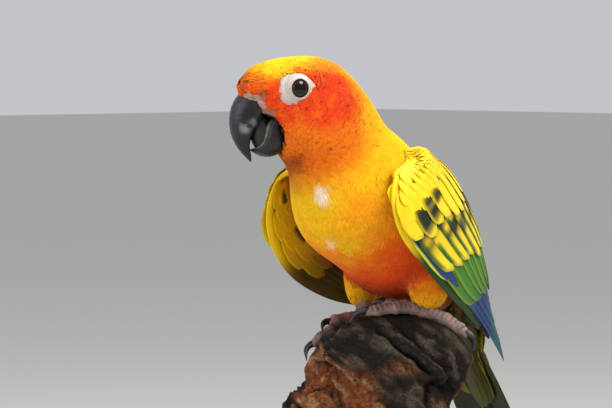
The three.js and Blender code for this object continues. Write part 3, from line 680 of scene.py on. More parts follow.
def curve_through(points):
    """A curve through points, as a function of the share of the way along them."""
    points = np.array(points, dtype=float)
    ends = np.vstack([2 * points[0] - points[1], points, 2 * points[-1] - points[-2]])

    def at(share):
        place = np.clip(np.asarray(share, dtype=float), 0, 1) * (len(points) - 1)
        index = np.minimum(place.astype(int), len(points) - 2)
        w = (place - index)[..., None]
        a, b, c, d = ends[index], ends[index + 1], ends[index + 2], ends[index + 3]
        gap = lambda p, q: np.maximum(((q - p) ** 2).sum(-1, keepdims=True) ** 0.25, 1e-4)
        first, second, third = gap(a, b), gap(b, c), gap(c, d)
        into = ((b - a) / first - (c - a) / (first + second) + (c - b) / second) * second
        out = ((c - b) / second - (d - b) / (second + third) + (d - c) / third) * second
        return b + into * w + (3 * (c - b) - 2 * into - out) * w**2 + (2 * (b - c) + into + out) * w**3

    return at


def wing_sheet(side):
    """The place on the wing at a share of its length and of its width, raised by a height."""
    leading = curve_through(LEADING_EDGES[side])
    back_edge = curve_through([(side * x, y, z) for x, y, z in BACK_EDGE])

    def flat(s, t):
        return leading(s) + (back_edge(s) - leading(s)) * np.asarray(t)[..., None]

    def at(s, t, height=0.0):
        s, t = np.broadcast_arrays(np.asarray(s, dtype=float), np.asarray(t, dtype=float))
        facing = np.maximum(s, SHOULDER_FACING)
        along = flat(facing + 0.02, t) - flat(facing - 0.02, t)
        over = flat(facing, t + 0.02) - flat(facing, t - 0.02)
        normal = unit(np.cross(along, over)) * side
        bulge = WING_BULGE[0] + (WING_BULGE[1] - WING_BULGE[0]) * np.maximum(0, s - 0.35) / 0.65
        arch = 4 * t * (1 - t) * smooth(-0.06, 0.16, s) * bulge
        return flat(s, t) + normal * (arch + height)[..., None], normal

    return at


def clear_of_body(points, clearance):
    near = body(points) < clearance
    placed = points.copy()
    placed[near] = onto(body, points[near], clearance)
    return placed


def sheet_faces(rows, columns, offset=0, flip=False):
    i, j = np.meshgrid(np.arange(rows - 1), np.arange(columns - 1), indexing="ij")
    a = (i * columns + j).ravel() + offset
    quad = np.stack([a, a + columns, a + columns + 1, a + 1], 1)
    return quad[:, ::-1] if flip else quad


def closed_sheet(rows, columns, flip=False):
    """Faces of two sheets of points, upper then lower, joined round their edge."""
    count = rows * columns
    top, under = sheet_faces(rows, columns, 0, flip), sheet_faces(rows, columns, count, not flip)
    rim = np.concatenate(
        [
            np.arange(columns),
            np.arange(1, rows) * columns + columns - 1,
            (rows - 1) * columns + np.arange(columns - 2, -1, -1),
            np.arange(rows - 2, 0, -1) * columns,
        ]
    )
    after = np.roll(rim, -1)
    wall = np.stack([rim, after, after + count, rim + count], 1)
    return np.concatenate([top, under, wall[:, ::-1] if flip else wall])


def vane_outline(q, tip_point):
    """Half width along a vane, from its quill to its round or pointed tip."""
    grow = 0.35 + 0.65 * np.sin(np.clip(q / 0.5, 0, 1) * math.pi / 2)
    fall = np.clip((q - 0.5) / 0.5, 0, 1)
    return grow * np.maximum(1 - fall**tip_point, 0) ** (0.5 if tip_point > 2 else 0.75)


def vane_mesh(line, across, normals, width, thick, camber, tip_point, rows, columns, rng):
    """A closed blade along a line of points: cambered, ragged at its edge, with a raised shaft."""
    q = np.linspace(0, 1, rows)
    a = np.linspace(-1, 1, columns)
    half = width / 2 * vane_outline(q * 0.998, tip_point)[:, None]
    ragged = 1 + rng.normal(0, 0.03, (rows, columns)) * (np.abs(a) ** 4)[None, :]
    place = line[:, None] + across[:, None] * (half * a * ragged)[..., None]
    place = place - normals[:, None] * (camber * (half * 2 / width) ** 2 * a**2)[..., None]
    shaft = 0.16 * np.exp(-((a * half / 0.28) ** 2)) * (1 - q[:, None] * 0.7)
    web = thick * (1 - 0.75 * a**4)[None, :] * np.ones((rows, 1))
    upper = place + normals[:, None] * (shaft + web / 2)[..., None]
    lower = place - normals[:, None] * (web / 2)[..., None]
    points = np.concatenate([upper.reshape(-1, 3), lower.reshape(-1, 3)])
    return points, np.tile(np.repeat(q, columns), 2), np.tile(a, 2 * rows), np.tile((half * a).ravel(), 2)


VANE_KEYS = ("points", "faces", "colours", "vane", "home")


def add_part(parts, *values):
    """More points, faces, colours and places on the two maps for a piece made of many closed parts."""
    points, faces, colours, vane, home = values
    total = sum(map(len, parts["points"]))
    for key, value in zip(VANE_KEYS, (points, faces + total, np.clip(colours, 0, 1), vane, home)):
        parts[key].append(value)


def lay_vane(parts, line, across, facing, size, rng, paint, home):
    """One vane along a line. Its size is its width, thickness, camber, end, rows and columns."""
    rows, columns = size[-2:]
    points, q, a, lateral = vane_mesh(line, across, facing, *size, rng)
    along = unit(np.gradient(line, axis=0))
    flip = np.cross(along[0], across[0]) @ facing[0] < 0
    length = np.linalg.norm(np.diff(line, axis=0), axis=1).sum()
    vane = np.stack([lateral / 100, q * length / 100], 1)
    add_part(parts, points, closed_sheet(rows, columns, flip), paint(q, a), vane, home(q, a))


def vane_piece(name, parts):
    points, faces, colours, vane, home = (np.concatenate(parts[key]) for key in VANE_KEYS)
    return add_piece(name, points, faces, vane_finish, colours, {"Vane": vane, "OFBake": home})


# Vane surfaces are smooth barbs locked side by side, satin, with fine slanting lines in relief, painted
# darker in their grooves as painted shade.
BARB_LINE_MM = 0.75  # drawn twice as coarse as the real barbs, so that they show
vane_finish, vane_tree, vane_shader = new_material(
    "vane", Roughness=0.55, Sheen_Weight=0.03, Specular_IOR_Level=0.3
)
vane_pigment = add_node(vane_tree, "ShaderNodeVertexColor", layer_name="Pigment")
vane_map = add_node(vane_tree, "ShaderNodeUVMap", uv_map="Vane")
vane_places = add_node(vane_tree, "ShaderNodeSeparateXYZ", {0: vane_map.outputs["UV"]})
vane_slant = add_node(vane_tree, "ShaderNodeMath", {0: vane_places.outputs["X"]}, operation="ABSOLUTE")
vane_run = add_node(
    vane_tree, "ShaderNodeMath", {0: vane_places.outputs["Y"], 1: vane_slant.outputs[0]}, operation="SUBTRACT"
)
vane_turns = add_node(vane_tree, "ShaderNodeMath", {0: vane_run.outputs[0]}, operation="MULTIPLY")
vane_turns.inputs[1].default_value = 100 * 2 * math.pi / BARB_LINE_MM
vane_wave = add_node(vane_tree, "ShaderNodeMath", {0: vane_turns.outputs[0]}, operation="SINE")
vane_bump = add_node(
    vane_tree, "ShaderNodeBump", {"Height": vane_wave.outputs[0]}, Distance=0.00006, Strength=0.7
)
vane_tree.links.new(vane_bump.outputs["Normal"], vane_shader.inputs["Normal"])
# Painted shade: each barb line is darker in its groove and lighter on its ridge.
vane_groove_shade = toned(
    vane_tree, vane_pigment.outputs["Color"], vane_wave.outputs[0],
    From_Min=-1, From_Max=1, To_Min=0.86, To_Max=1.04,
)
vane_tree.links.new(vane_groove_shade, vane_shader.inputs["Base Color"])

WING_YELLOW, LEMON = linear("#ffd900"), linear("#fff02a")
BOTTLE_GREEN, LEAF_GREEN, BLACK_GREEN = linear("#174c0e"), linear("#2f7c0e"), linear("#0c1e0a")
WING_BLUE, DEEP_BLUE, TEAL = linear("#06357a"), linear("#061634"), linear("#085a50")
EDGE_YELLOW, UNDER_OLIVE, SHADED_UNDER_ORANGE = linear("#e8e020"), linear("#6a5a14"), linear("#c07a10")


def blotches(s, t):
    """Ragged patches a few millimetres across, the same for every vane that lies there."""
    return lattice_noise(np.stack([s * 62, t * 26, np.zeros_like(s)], -1), 2.2, 71)


# Each paint gives a vane's colour at shares of its own length (q) and half width (a), and of the
# wing's length (s) and width (t).
def lesser_covert(q, a, s, t, draw):
    middle = smooth(0.7, 0.3, np.abs(a)) * smooth(0.1, 0.4, q) * smooth(1, 0.8, q)
    return layered(WING_YELLOW, (LEMON, smooth(0.3, 1, q) * 0.5), (BLACK_GREEN, draw["spot"] * middle))


def median_covert(q, a, s, t, draw):
    middle = smooth(1.1, 0.7, np.abs(a)) * smooth(0.93, 0.78, q) * smooth(0.3, 0.45, q)
    spot = middle * np.minimum(1, draw["spot"] * 1.2) * smooth(0.28, 0.34, blotches(s, t))
    return layered(WING_YELLOW, (LEMON, smooth(0.3, 1, q) * 0.5), (BLACK_GREEN, spot))


def greater_covert(q, a, s, t, draw):
    blotch = blotches(s, t)
    edges = smooth(0.42, 0.62, np.abs(a + 0.1)) * smooth(0.98, 0.84, q)
    return layered(
        WING_YELLOW,
        (LEMON, smooth(0.5, 1, q) * 0.4),
        (LEAF_GREEN * 0.7, edges * draw["web"] * smooth(0.25, 0.42, blotch + 0.3 * q)),
        (BLACK_GREEN, smooth(0.7, 0.6, q) * smooth(0.3, 0.37, blotch) * draw["web"]),
    )


def secondary(q, a, s, t, draw):
    return layered(
        LEAF_GREEN,
        (BOTTLE_GREEN, smooth(-0.3, 0.7, a)),
        (DEEP_BLUE, smooth(0.86, 1, q) * 0.7),
        (EDGE_YELLOW, smooth(-0.82, -0.98, a) * 0.35),
    )


def primary_covert(q, a, s, t, draw):
    pale_edge = smooth(-0.45, -0.6, a) * draw["edge"]
    return layered(WING_BLUE, (DEEP_BLUE, smooth(0.0, 0.8, a)), (EDGE_YELLOW, pale_edge))


def primary(q, a, s, t, draw):
    return layered(
        TEAL,
        (WING_BLUE, smooth(0.3, 0.6, q)),
        (TEAL, smooth(0.78, 0.95, q) * smooth(0.2, -0.3, a)),
        (BLACK_GREEN, smooth(0.1, 0.8, a) * 0.8),
    )


def under_covert(q, a, s, t, draw):
    return layered(
        # The coverts' orange is darkened towards brown as painted shade under the wing.
        SHADED_UNDER_ORANGE,
        (WING_YELLOW, smooth(0.34, 0.12, t)),
        (UNDER_OLIVE, smooth(0.35, 0.5, s) * 0.8),
        (BLACK_GREEN, draw["spot"] * smooth(0.8, 0.3, np.abs(a)) * smooth(0.2, 0.5, q)),
    )


def under_flight(q, a, s, t, draw):
    return layered(
        UNDER_OLIVE * 0.45, (BLACK_GREEN, smooth(-0.2, 0.8, a)), (DEEP_BLUE, smooth(0.6, 1, q) * 0.5)
    )


# Each row: how many, the root and tip of its first and last vane as shares of the wing's length and
# width, the vane's width, its height over the sheet at root and tip, the shape of its end, its paint.
FLIGHT_ROWS = [
    (9, (0.44, 0.10), (0.46, 0.55), (0.91, 0.32), (0.76, 0.5), 8.4, (-1.6, -1.1), 2.0, primary),
    (9, (0.36, 0.16), (0.40, 0.93), (0.69, 0.16), (0.76, 0.86), 10.0, (-1.2, -0.5), 3.0, secondary),
    (3, (0.33, 0.04), (0.36, 0.09), (0.53, 0.03), (0.55, 0.06), 3.4, (-0.9, 0.0), 2.2, primary_covert),
    (9, (0.27, 0.10), (0.28, 0.92), (0.51, 0.12), (0.62, 0.90), 8.4, (-0.7, 0.3), 3.4, greater_covert),
    (9, (0.20, 0.05), (0.18, 0.93), (0.385, 0.07), (0.42, 0.92), 8.4, (-0.5, 0.7), 3.2, median_covert),
]
VANE_STEP = 0.055  # how much higher each vane of a row lies than the one before
# The dark patch on the wing, by the number of the feather in its row, and single dark feathers
# by the share of the wing's length and width where they end.
SPOTTED = {median_covert: {1: 0.95, 2: 1.0, 3: 0.9}, greater_covert: {1: 1.0, 2: 0.9, 3: 1.0, 4: 0.9}}
DARK_FEATHERS = [(0.13, 0.34), (0.15, 0.72), (0.30, 0.52), (0.40, 0.62), (0.22, 0.12), (0.27, 0.86)]
DARK_UNDER = ((0, 1), (1, 2), (3, 1), (3, 3))
LARGE_VANE, SMALL_VANE = (0.22, 13, 9), (0.18, 9, 7)  # thickness in millimetres, rows, columns
ARM_ROWS, ARM_COLUMNS, ARM_REACH = 46, 24, 0.78
ARM_UNDER_VANES = -1.3  # how far under the sheet the arm's upper skin lies, in millimetres
# How far the vanes and the arm's two skins stay clear of the body, in millimetres.
VANE_CLEARANCE, UPPER_CLEARANCE, LOWER_CLEARANCE = 0.9, 1.2, 0.55
# Small coverts, above and under the wing: rows, first row, step between rows and length, as shares of
# the wing's length, and the width in millimetres.
LESSER_ROWS, LESSER_FIRST, LESSER_STEP, LESSER_LENGTH, LESSER_WIDTH = 9, 0.012, 0.026, 0.095, 6.2
UNDER_ROWS, UNDER_FIRST, UNDER_STEP, UNDER_LENGTH, UNDER_WIDTH = 6, 0.156, 0.048, 0.10, 6.4
UNDER_QUILLS = 10


def wing_home(s, t, under):
    """Where a place on the wing lies on the flat map of the wing's own shape, upper side or under side."""
    return np.stack([s * 0.9 + 0.02, t * 0.4 + (0.52 if under else 0.05)], 1)


def part_way(first, last, share):
    return tuple(a + (b - a) * share for a, b in zip(first, last))


def make_wing(label, side):
    at = wing_sheet(side)
    rng = np.random.default_rng(31 + side)
    parts = {key: [] for key in VANE_KEYS}

    def add_vane(root, tip, width, heights, end, kind, paint, draw, under=False):
        thick, rows, columns = kind
        q = np.linspace(0, 1, rows)
        s, t = part_way(root, tip, q)
        height = heights[0] + (heights[1] - heights[0]) * smooth(0, 0.5, q)
        line, normals = at(s, t, height)
        line = clear_of_body(line, VANE_CLEARANCE)
        along = unit(np.gradient(line, axis=0))
        inward = at(s, t + 0.03, height)[0] - at(s, t, height)[0]
        inward = inward - along * (inward * along).sum(-1, keepdims=True)
        facing = -normals if under else normals
        across = unit(unit(inward) - facing * VANE_TILT)

        def colours(q_at, a_at):
            shade = draw["shade"] * (0.93 + 0.09 * q_at)
            return paint(q_at, a_at, np.interp(q_at, q, s), np.interp(q_at, q, t), draw) * shade[:, None]

        size = (width, thick, (-0.03 if under else 0.06) * width, end, rows, columns)
        home = lambda q_at, a_at: wing_home(s[0] + q_at * 0.012, t[0] + a_at * 0.008, under)
        lay_vane(parts, line, across, facing, size, rng, colours, home)

    # The arm and its skin: one closed sheet under every row.
    s, t = np.meshgrid(np.linspace(0, ARM_REACH, ARM_ROWS), np.linspace(0, 1, ARM_COLUMNS), indexing="ij")
    fullness = np.sqrt(np.maximum(0, 1 - (2 * t - 1) ** 4)) * np.minimum(1, 0.35 + 3 * s) * (1 - 0.8 * s)
    upper, _ = at(s, t, np.full(s.shape, ARM_UNDER_VANES))
    lower, _ = at(s, t, ARM_UNDER_VANES - (1.0 + 1.6 * fullness) * (1 - 0.6 * s))
    upper = clear_of_body(upper.reshape(-1, 3), UPPER_CLEARANCE)
    lower = clear_of_body(lower.reshape(-1, 3), LOWER_CLEARANCE)
    s, t = s.ravel(), t.ravel()
    shoulder = (1 - smooth(0.06, 0.22 * (0.6 + 0.8 * t), s))[:, None]
    lower = lower + (onto(body, upper, LOWER_CLEARANCE) - lower) * shoulder
    # Painted shade: the arm's upper skin is yellow darkened to 0.8 and its under skin orange and olive
    # darkened to 0.7 and 0.5, lying under the vanes.
    rim = (WING_YELLOW, np.maximum(smooth(0.1, 0.05, t) * smooth(0.45, 0.36, s), smooth(0.15, 0.09, s)))
    outside = layered(
        WING_YELLOW * 0.8, (BOTTLE_GREEN, smooth(0.36, 0.46, s)), (DEEP_BLUE, smooth(0.7, 0.8, s)), rim
    )
    inside = layered(SHADED_UNDER_ORANGE * 0.7, (UNDER_OLIVE * 0.5, smooth(0.3, 0.5, s)), rim)
    add_part(
        parts,
        np.concatenate([upper, lower]),
        closed_sheet(ARM_ROWS, ARM_COLUMNS, side < 0),
        np.concatenate([outside, inside]),
        np.tile(np.stack([t * 0.4, s * 1.2], 1), (2, 1)),
        np.concatenate([wing_home(s, t, False), wing_home(s, t, True)]),
    )

    # Flight feathers and the larger coverts, from the innermost layer outwards.
    for count, root_a, root_b, tip_a, tip_b, width, heights, end, paint in FLIGHT_ROWS:
        spots = SPOTTED.get(paint, {})
        for k in range(count):
            wobble = rng.normal(0, 0.006, 4)
            root, tip = part_way(root_a, root_b, k / (count - 1)), part_way(tip_a, tip_b, k / (count - 1))
            root = (root[0] + wobble[0], root[1])
            tip = (tip[0] + wobble[1] * 1.5, tip[1] + wobble[2])
            draw = {
                "spot": spots.get(k, 0.0),
                "web": spots.get(k, 0.92),
                "edge": 1.0 if k == 0 else 0.0,
                "shade": rng.uniform(0.93, 1.04),
            }
            size = width * rng.uniform(0.95, 1.06)
            raised = tuple(height + VANE_STEP * k for height in heights)
            add_vane(root, tip, size, raised, end, LARGE_VANE, paint, draw)

    # Lesser coverts: rows of short round vanes, each over the roots of the next.
    for row in reversed(range(LESSER_ROWS)):
        across = 11 if row > 1 else 9
        for k in range(across):
            t = 0.03 + 0.9 * ((k + 0.5 + 0.5 * (row % 2)) / (across + 0.5))
            s = LESSER_FIRST + LESSER_STEP * row + rng.normal(0, 0.003)
            tip = (s + LESSER_LENGTH, t + rng.normal(0, 0.008))
            dark = any(abs(tip[0] - a) < 0.014 and abs(tip[1] - b) < 0.045 for a, b in DARK_FEATHERS)
            draw = {"spot": 0.85 * dark, "shade": rng.uniform(0.94, 1.04)}
            add_vane((s, t), tip, LESSER_WIDTH, (-0.2, 0.75), 3.0, SMALL_VANE, lesser_covert, draw)

    # Under the wing: olive flight feathers, then short orange coverts, darkened to orange-brown as painted
    # shade, with a few dark ones.
    for k in range(UNDER_QUILLS):
        f = k / (UNDER_QUILLS - 1)
        root, tip = (0.34, 0.17 + 0.42 * f), (0.85 - 0.16 * f, 0.22 + 0.36 * f)
        draw = {"shade": rng.uniform(0.9, 1.1)}
        add_vane(root, tip, 8.0, (-3.0, -2.8), 2.4, LARGE_VANE, under_flight, draw, under=True)
    for row in reversed(range(UNDER_ROWS)):
        for k in range(7):
            t = 0.1 + (k + 0.5 * (row % 2)) * 0.08
            s = UNDER_FIRST + UNDER_STEP * row + rng.normal(0, 0.004)
            draw = {"spot": 0.9 * ((row, k) in DARK_UNDER), "shade": rng.uniform(0.85, 1.1)}
            tip = (s + UNDER_LENGTH, t + 0.01)
            add_vane((s, t), tip, UNDER_WIDTH, (-3.1, -4.2), 3.0, SMALL_VANE, under_covert, draw, under=True)

    wing = vane_piece(f"wing_{label}_vanes", parts)
    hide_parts(f"wing_{label}")


for label, side in SIDES.items():
    make_wing(label, side)


# Tail: twelve narrow graduated feathers, the middle pair longest and on top, olive above with blue
# ends and nearly black below, with short coverts over and under their quills.
TAIL_ROOT = np.array([0, 42, -5])
TAIL_LENGTH, TAIL_PAIRS, TAIL_STEP = 138, 6, 0.085
tail_slope = math.radians(-TAIL_PITCH)
tail_along = np.array([0, math.cos(tail_slope), -math.sin(tail_slope)])
tail_up = np.array([0, math.sin(tail_slope), math.cos(tail_slope)])
TAIL_OLIVE, TAIL_BLUE, TAIL_DARK = linear("#4e5a16"), linear("#123a72"), linear("#17160c")
RUMP_GREEN, SHADED_VENT_GOLD = linear("#727a12"), linear("#4c3e10")


QUILL_ROWS, QUILL_COLUMNS, QUILL_WIDTH, QUILL_THICK, QUILL_END = 26, 11, 11.6, 0.35, 2.3
COVERT_ROWS, COVERT_COLUMNS, COVERT_LENGTH, COVERT_THICK, COVERT_END = 10, 7, 19, 0.2, 2.8
COVERT_CLEARANCE = 0.9


def tail_parts():
    rng = np.random.default_rng(53)
    parts = {key: [] for key in VANE_KEYS}
    sideways = np.array([1.0, 0, 0])

    def add(line, across, up, width, end, rows, columns, thick, top_paint, under_paint, home):
        def colours(q, a):
            upper = np.arange(len(q)) < len(q) // 2
            return np.where(upper[:, None], top_paint(q, a), under_paint(q, a)) * rng.uniform(0.93, 1.05)

        size = (width, thick, 0.05 * width, end, rows, columns)
        place = lambda q, a: np.stack([home[0] + q * 0.35, home[1] + a * 0.012], 1)
        lay_vane(parts, line, across, up, size, rng, colours, place)

    def olive(q, a):
        edge = (TAIL_DARK, smooth(0.6, 1, np.abs(a)) * 0.5)
        return layered(TAIL_OLIVE, (TAIL_BLUE, smooth(0.55, 0.9, q)), edge)

    def dark(q, a):
        return layered(TAIL_DARK, (TAIL_OLIVE * 0.6, smooth(0.8, 0.2, q) * 0.5))

    for pair in range(TAIL_PAIRS):
        length = TAIL_LENGTH * (1 - TAIL_STEP * pair)
        for side in (1, -1):
            lift = 0 if side > 0 else 0.45
            q = np.linspace(0, 1, QUILL_ROWS)[:, None]
            height = 1.5 - 0.6 * pair - lift + (0.9 - 0.45 * pair) * q
            reach = 1.2 + 0.5 * pair + (1.4 + 1.2 * pair) * q
            line = TAIL_ROOT + tail_along * (length * q - 2 * (1 - q)) + tail_up * height
            line = line + sideways * side * reach
            up = unit(tail_up + sideways * side * 0.06 * pair) * np.ones((QUILL_ROWS, 1))
            across = unit(np.cross(tail_along, up)) * side
            home = (0.05, 0.06 + 0.07 * pair + 0.035 * (side > 0))
            add(
                line, across, up, QUILL_WIDTH, QUILL_END, QUILL_ROWS, QUILL_COLUMNS, QUILL_THICK,
                olive, dark, home,
            )

    # Coverts lie from the rump over the first third of the tail, and from the vent under it.
    def rump(q, a):
        return layered(RUMP_GREEN, (GOLDEN, smooth(0.6, 0, q)))

    def vent(q, a):
        # The vent coverts' olive-gold is darkened as painted shade under the tail.
        return layered(SHADED_VENT_GOLD, (TAIL_OLIVE, smooth(0.2, 1, q) * 0.7))

    for over, paint, width in ((1, rump, 7.2), (-1, vent, 5.4)):
        for row in range(3, -1, -1):
            count = 7 - row % 2
            for k in range(count):
                spread = (k / (count - 1) - 0.5) * 2
                length = COVERT_LENGTH - 1.5 * abs(spread) * 3 + rng.normal(0, 0.6)
                q = np.linspace(0, 1, COVERT_ROWS)[:, None]
                run = 9 * row - 12 + length * q
                arch = 0.4 * np.sin(q * math.pi)
                deep = (3.6 - 0.28 * run.clip(0, 12)) if over > 0 else 3.4
                line = TAIL_ROOT + tail_along * run + sideways * spread * (6.0 - 0.5 * row)
                line = line + tail_up * over * (deep - 2.2 * spread**2 + arch)
                line = clear_of_body(line, COVERT_CLEARANCE)
                up = unit(tail_up * over + sideways * 0.55 * spread) * np.ones((COVERT_ROWS, 1))
                across = unit(np.cross(unit(np.gradient(line, axis=0)), up))
                home = (0.55, 0.04 + 0.11 * row + 0.015 * k + (over < 0) * 0.46)
                add(
                    line, across, up, width, COVERT_END, COVERT_ROWS, COVERT_COLUMNS, COVERT_THICK,
                    paint, paint, home,
                )
    return parts


tail = vane_piece("tail_vanes", tail_parts())
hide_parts("tail")


# Bill: a deep hooked upper half with a rounded ridge, and a short cup-shaped lower half behind its
# tip, both of dark horn. It is satin with fine growth lines, with a violet sheen painted along the ridge as a
# painted highlight, and flaked pale where it has been rubbed, these pale flakes also painted as highlights.
UPPER_RIDGE = [(21, 3), (24.2, -1), (25.6, -6), (25.2, -11), (22.9, -16), (19, -20.3)]
UPPER_INSIDE = [(11.5, 1.5), (12, -3), (14.7, -7.2), (17, -10.6), (18.7, -14.4), (18.6, -19.8)]
UPPER_WIDTHS = [5.8, 6.3, 5.7, 4.3, 2.7, 0.5]
LOWER_OUTSIDE = [(8.6, -5.6), (6.8, -10), (7.6, -15), (11.2, -18.2), (15.6, -18.5), (19.1, -16.6)]
LOWER_INSIDE = [(11.9, -5.6), (14.2, -8.4), (15, -11.6), (15.6, -13.9), (17.1, -15.5), (18.8, -16.2)]
LOWER_WIDTHS = [6.9, 7.1, 6.9, 5.8, 4, 1]
# The violet horn tone also paints a highlight along the ridge of the upper bill; on the claws it is the
# horn's own tint.
HORN_DARK, HORN_GREY, HORN_VIOLET_AND_SHEEN = linear("#0d0c0e"), linear("#211f24"), linear("#544d5e")
HORN_PALE, FLAKE_AND_HIGHLIGHT_WHITE = linear("#8d877c"), linear("#b9c4cc")


BILL_STEPS, BILL_SIDES = 64, 56
# Where the upper half is rubbed pale and painted with bluish-white highlights: the middle, the reach in
# millimetres and the greatest cover.
RUBBED_AND_HIGHLIGHTS = (((21.3, 5, -9.4), 2.6, 0.32), ((18.4, 5, -7.6), 2.2, 0.2), ((16.2, 6, -6.4), 1.5, 0.2))
LOWER_EDGE_ANGLE = 2.75


def bill_half(outer, inner, widths, hollow, fullness, seed):
    """Rings of points from the root of a half of the bill to its tip, with each point's share and angle."""
    share = np.linspace(0, 1, BILL_STEPS)
    front = curve_through([(x, 0, z) for x, z in outer])(share)
    rear = curve_through([(x, 0, z) for x, z in inner])(share)
    width = curve_through([(i, w, 0) for i, w in enumerate(widths)])(share)[:, 1]
    angle = np.linspace(0, 2 * math.pi, BILL_SIDES, endpoint=False)
    c, s = np.cos(angle)[None, :], np.sin(angle)[None, :]
    reach = (front - rear)[:, None] / 2
    scoop = 1 - hollow * smooth(0.35, 1, -c) * (1 - smooth(0.82, 1, share))[:, None]
    local = (front + rear)[:, None] / 2 + reach * (c * scoop)[..., None]
    wide = width[:, None] * np.sign(s) * np.abs(s) ** fullness * (1 - 0.18 * c)
    local[..., 1] = wide
    rings = 0.035 * np.sin(share * 95)[:, None] * smooth(-0.6, 0.4, c)
    flakes = (lattice_noise(local, 1.3, seed) - 0.5) * 0.12
    outward = unit(reach * c[..., None] + np.array([0, 1.0, 0]) * wide[..., None])
    local = local + outward * (rings + flakes)[..., None]
    points = np.concatenate([local.reshape(-1, 3), local[0].mean(0)[None], local[-1].mean(0)[None]])
    shares = np.append(np.repeat(share, BILL_SIDES), [0, 1])
    return points, shares, np.append(np.tile(angle, BILL_STEPS), [0, 0])


def tube(points, rings, sides, loop=False):
    """Outward triangles over rings of points, joined end to start or closed by the two last points."""
    i, k = np.meshgrid(np.arange(rings if loop else rings - 1), np.arange(sides), indexing="ij")
    here, after, n = i * sides, (i + 1) % rings * sides, (k + 1) % sides
    quads = np.stack([here + k, here + n, after + n, after + k], -1).reshape(-1, 4)
    triangles = [quads[:, [0, 1, 2]], quads[:, [0, 2, 3]]]
    if not loop:
        k, n = np.arange(sides), (np.arange(sides) + 1) % sides
        first, end = np.full(sides, rings * sides), (rings - 1) * sides
        triangles += [np.stack([first, n, k], 1), np.stack([first + 1, end + k, end + n], 1)]
    triangles = np.concatenate(triangles)
    a, b, c = (points[triangles[:, i]] for i in range(3))
    return triangles if (np.cross(a, b) * c).sum() > 0 else triangles[:, ::-1]


horn_finish = pigmented(
    "horn", 0.4, 1.6, 0.25, 0.5, 0.06, Specular_IOR_Level=0.35, Coat_Weight=0.08, Coat_Roughness=0.2
)

points, share, angle = bill_half(UPPER_RIDGE, UPPER_INSIDE, UPPER_WIDTHS, 0.2, 0.92, 3)
streak = lattice_noise(points * np.array([0.4, 1.6, 0.4]), 1.2, 8)
# Painted highlight: a violet sheen along the ridge, fading out before the tip.
ridge_sheen = smooth(0.35, 1, np.cos(angle)) * smooth(0.85, 0.3, share)
colours = layered(
    HORN_DARK,
    (HORN_GREY, smooth(0.3, 0.8, streak) * 0.6),
    (HORN_VIOLET_AND_SHEEN, ridge_sheen * (0.25 + 0.45 * streak)),
    (HORN_PALE, smooth(0.14, 0.0, share) * 0.35),
)
# Pale rubbed flakes, painted bright and bluish-white so that they also serve as painted highlights.
rub_and_highlight = smooth(0.62, 0.86, lattice_noise(points, 1.3, 33) + 0.35 * lattice_noise(points, 3, 22))
for place, size, most in RUBBED_AND_HIGHLIGHTS:
    away = np.linalg.norm((points - np.array(place)) * np.array([1, 0.45, 1]), axis=1)
    colours = layered(colours, (FLAKE_AND_HIGHLIGHT_WHITE, smooth(size, size * 0.3, away) * rub_and_highlight * most))
points = from_head(points)
upper_bill = add_piece("upper_bill_horn", points, tube(points, BILL_STEPS, BILL_SIDES), horn_finish, colours)
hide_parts("upper_bill")

points, share, angle = bill_half(LOWER_OUTSIDE, LOWER_INSIDE, LOWER_WIDTHS, 0.0, 0.5, 5)
edge = np.abs(np.abs(np.angle(np.exp(1j * angle))) - LOWER_EDGE_ANGLE)
streak = lattice_noise(points, 1.1, 9)
worn = smooth(0.3, 0.08, edge) * (0.45 + 0.6 * streak) * smooth(0.02, 0.2, share)
colours = layered(HORN_DARK, (HORN_GREY, smooth(0.3, 0.8, streak) * 0.5), (HORN_PALE, worn))
points = from_head(points)
lower_bill = add_piece("lower_bill_horn", points, tube(points, BILL_STEPS, BILL_SIDES), horn_finish, colours)
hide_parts("lower_bill")


# Cere and gape: bare pinkish skin over the root of the bill, swollen round the two nostrils, which are
# painted dark red-brown inside as painted shade, and running down each side as a thin flaky band to the
# corner of the mouth. The tongue is a thick pad that just shows between the halves of the bill, dark in
# itself and painted near black as the shade inside the mouth.
CERE_PINK, CERE_GREY, NOSTRIL_SHADE_RED = linear("#b88b7a"), linear("#7c6862"), linear("#3c130d")
cere_swelling = blend(
    [head_blob((19.3, 0, 1.2), (3.2, 6.4, 2.4))]
    + [head_blob((17.2, side * 4.6, 1.3), (3.2, 2.9, 2.5)) for side in (1, -1)]
    + [head_blob((13.6, side * 6.2, -1.6), (3.6, 2.0, 2.3)) for side in (1, -1)]
    + [head_blob((11.2, side * 6.9, -4.0), (2.4, 1.6, 2.2)) for side in (1, -1)],
    1.6,
)
nostrils = [head_blob((18.9, side * 7.0, 2.0), (1.15, 1.9, 0.85)) for side in (1, -1)]


def cere_field(points):
    value = cere_swelling(points)
    for nostril in nostrils:
        hole = nostril(points)
        value = value - 0.35 * np.exp(-(((hole - 0.45) / 0.4) ** 2))
        value = np.maximum(value, -hole)
    local = to_head(points)
    folds = 0.09 * np.sin(local[..., 0] * 3.1 + local[..., 2] * 4.2 + 3 * lattice_noise(points, 2, 4))
    return value + folds


def formed(field, low, high, step):
    """A closed mesh of a field's zero, drawn onto it."""
    points, quads = surface_net(field, low, high, step)
    return onto(field, points, 0, 2), quads


def head_box(forward, sideways, upward):
    corners = from_head([(f, s, v) for f in forward for s in sideways for v in upward])
    return corners.min(0), corners.max(0)


points, quads = formed(cere_field, *head_box((8, 24), (-9.5, 9.5), (-7.5, 6)), 0.42)
tone = lattice_noise(points, 1.4, 12)
deep = np.minimum(nostrils[0](points), nostrils[1](points))
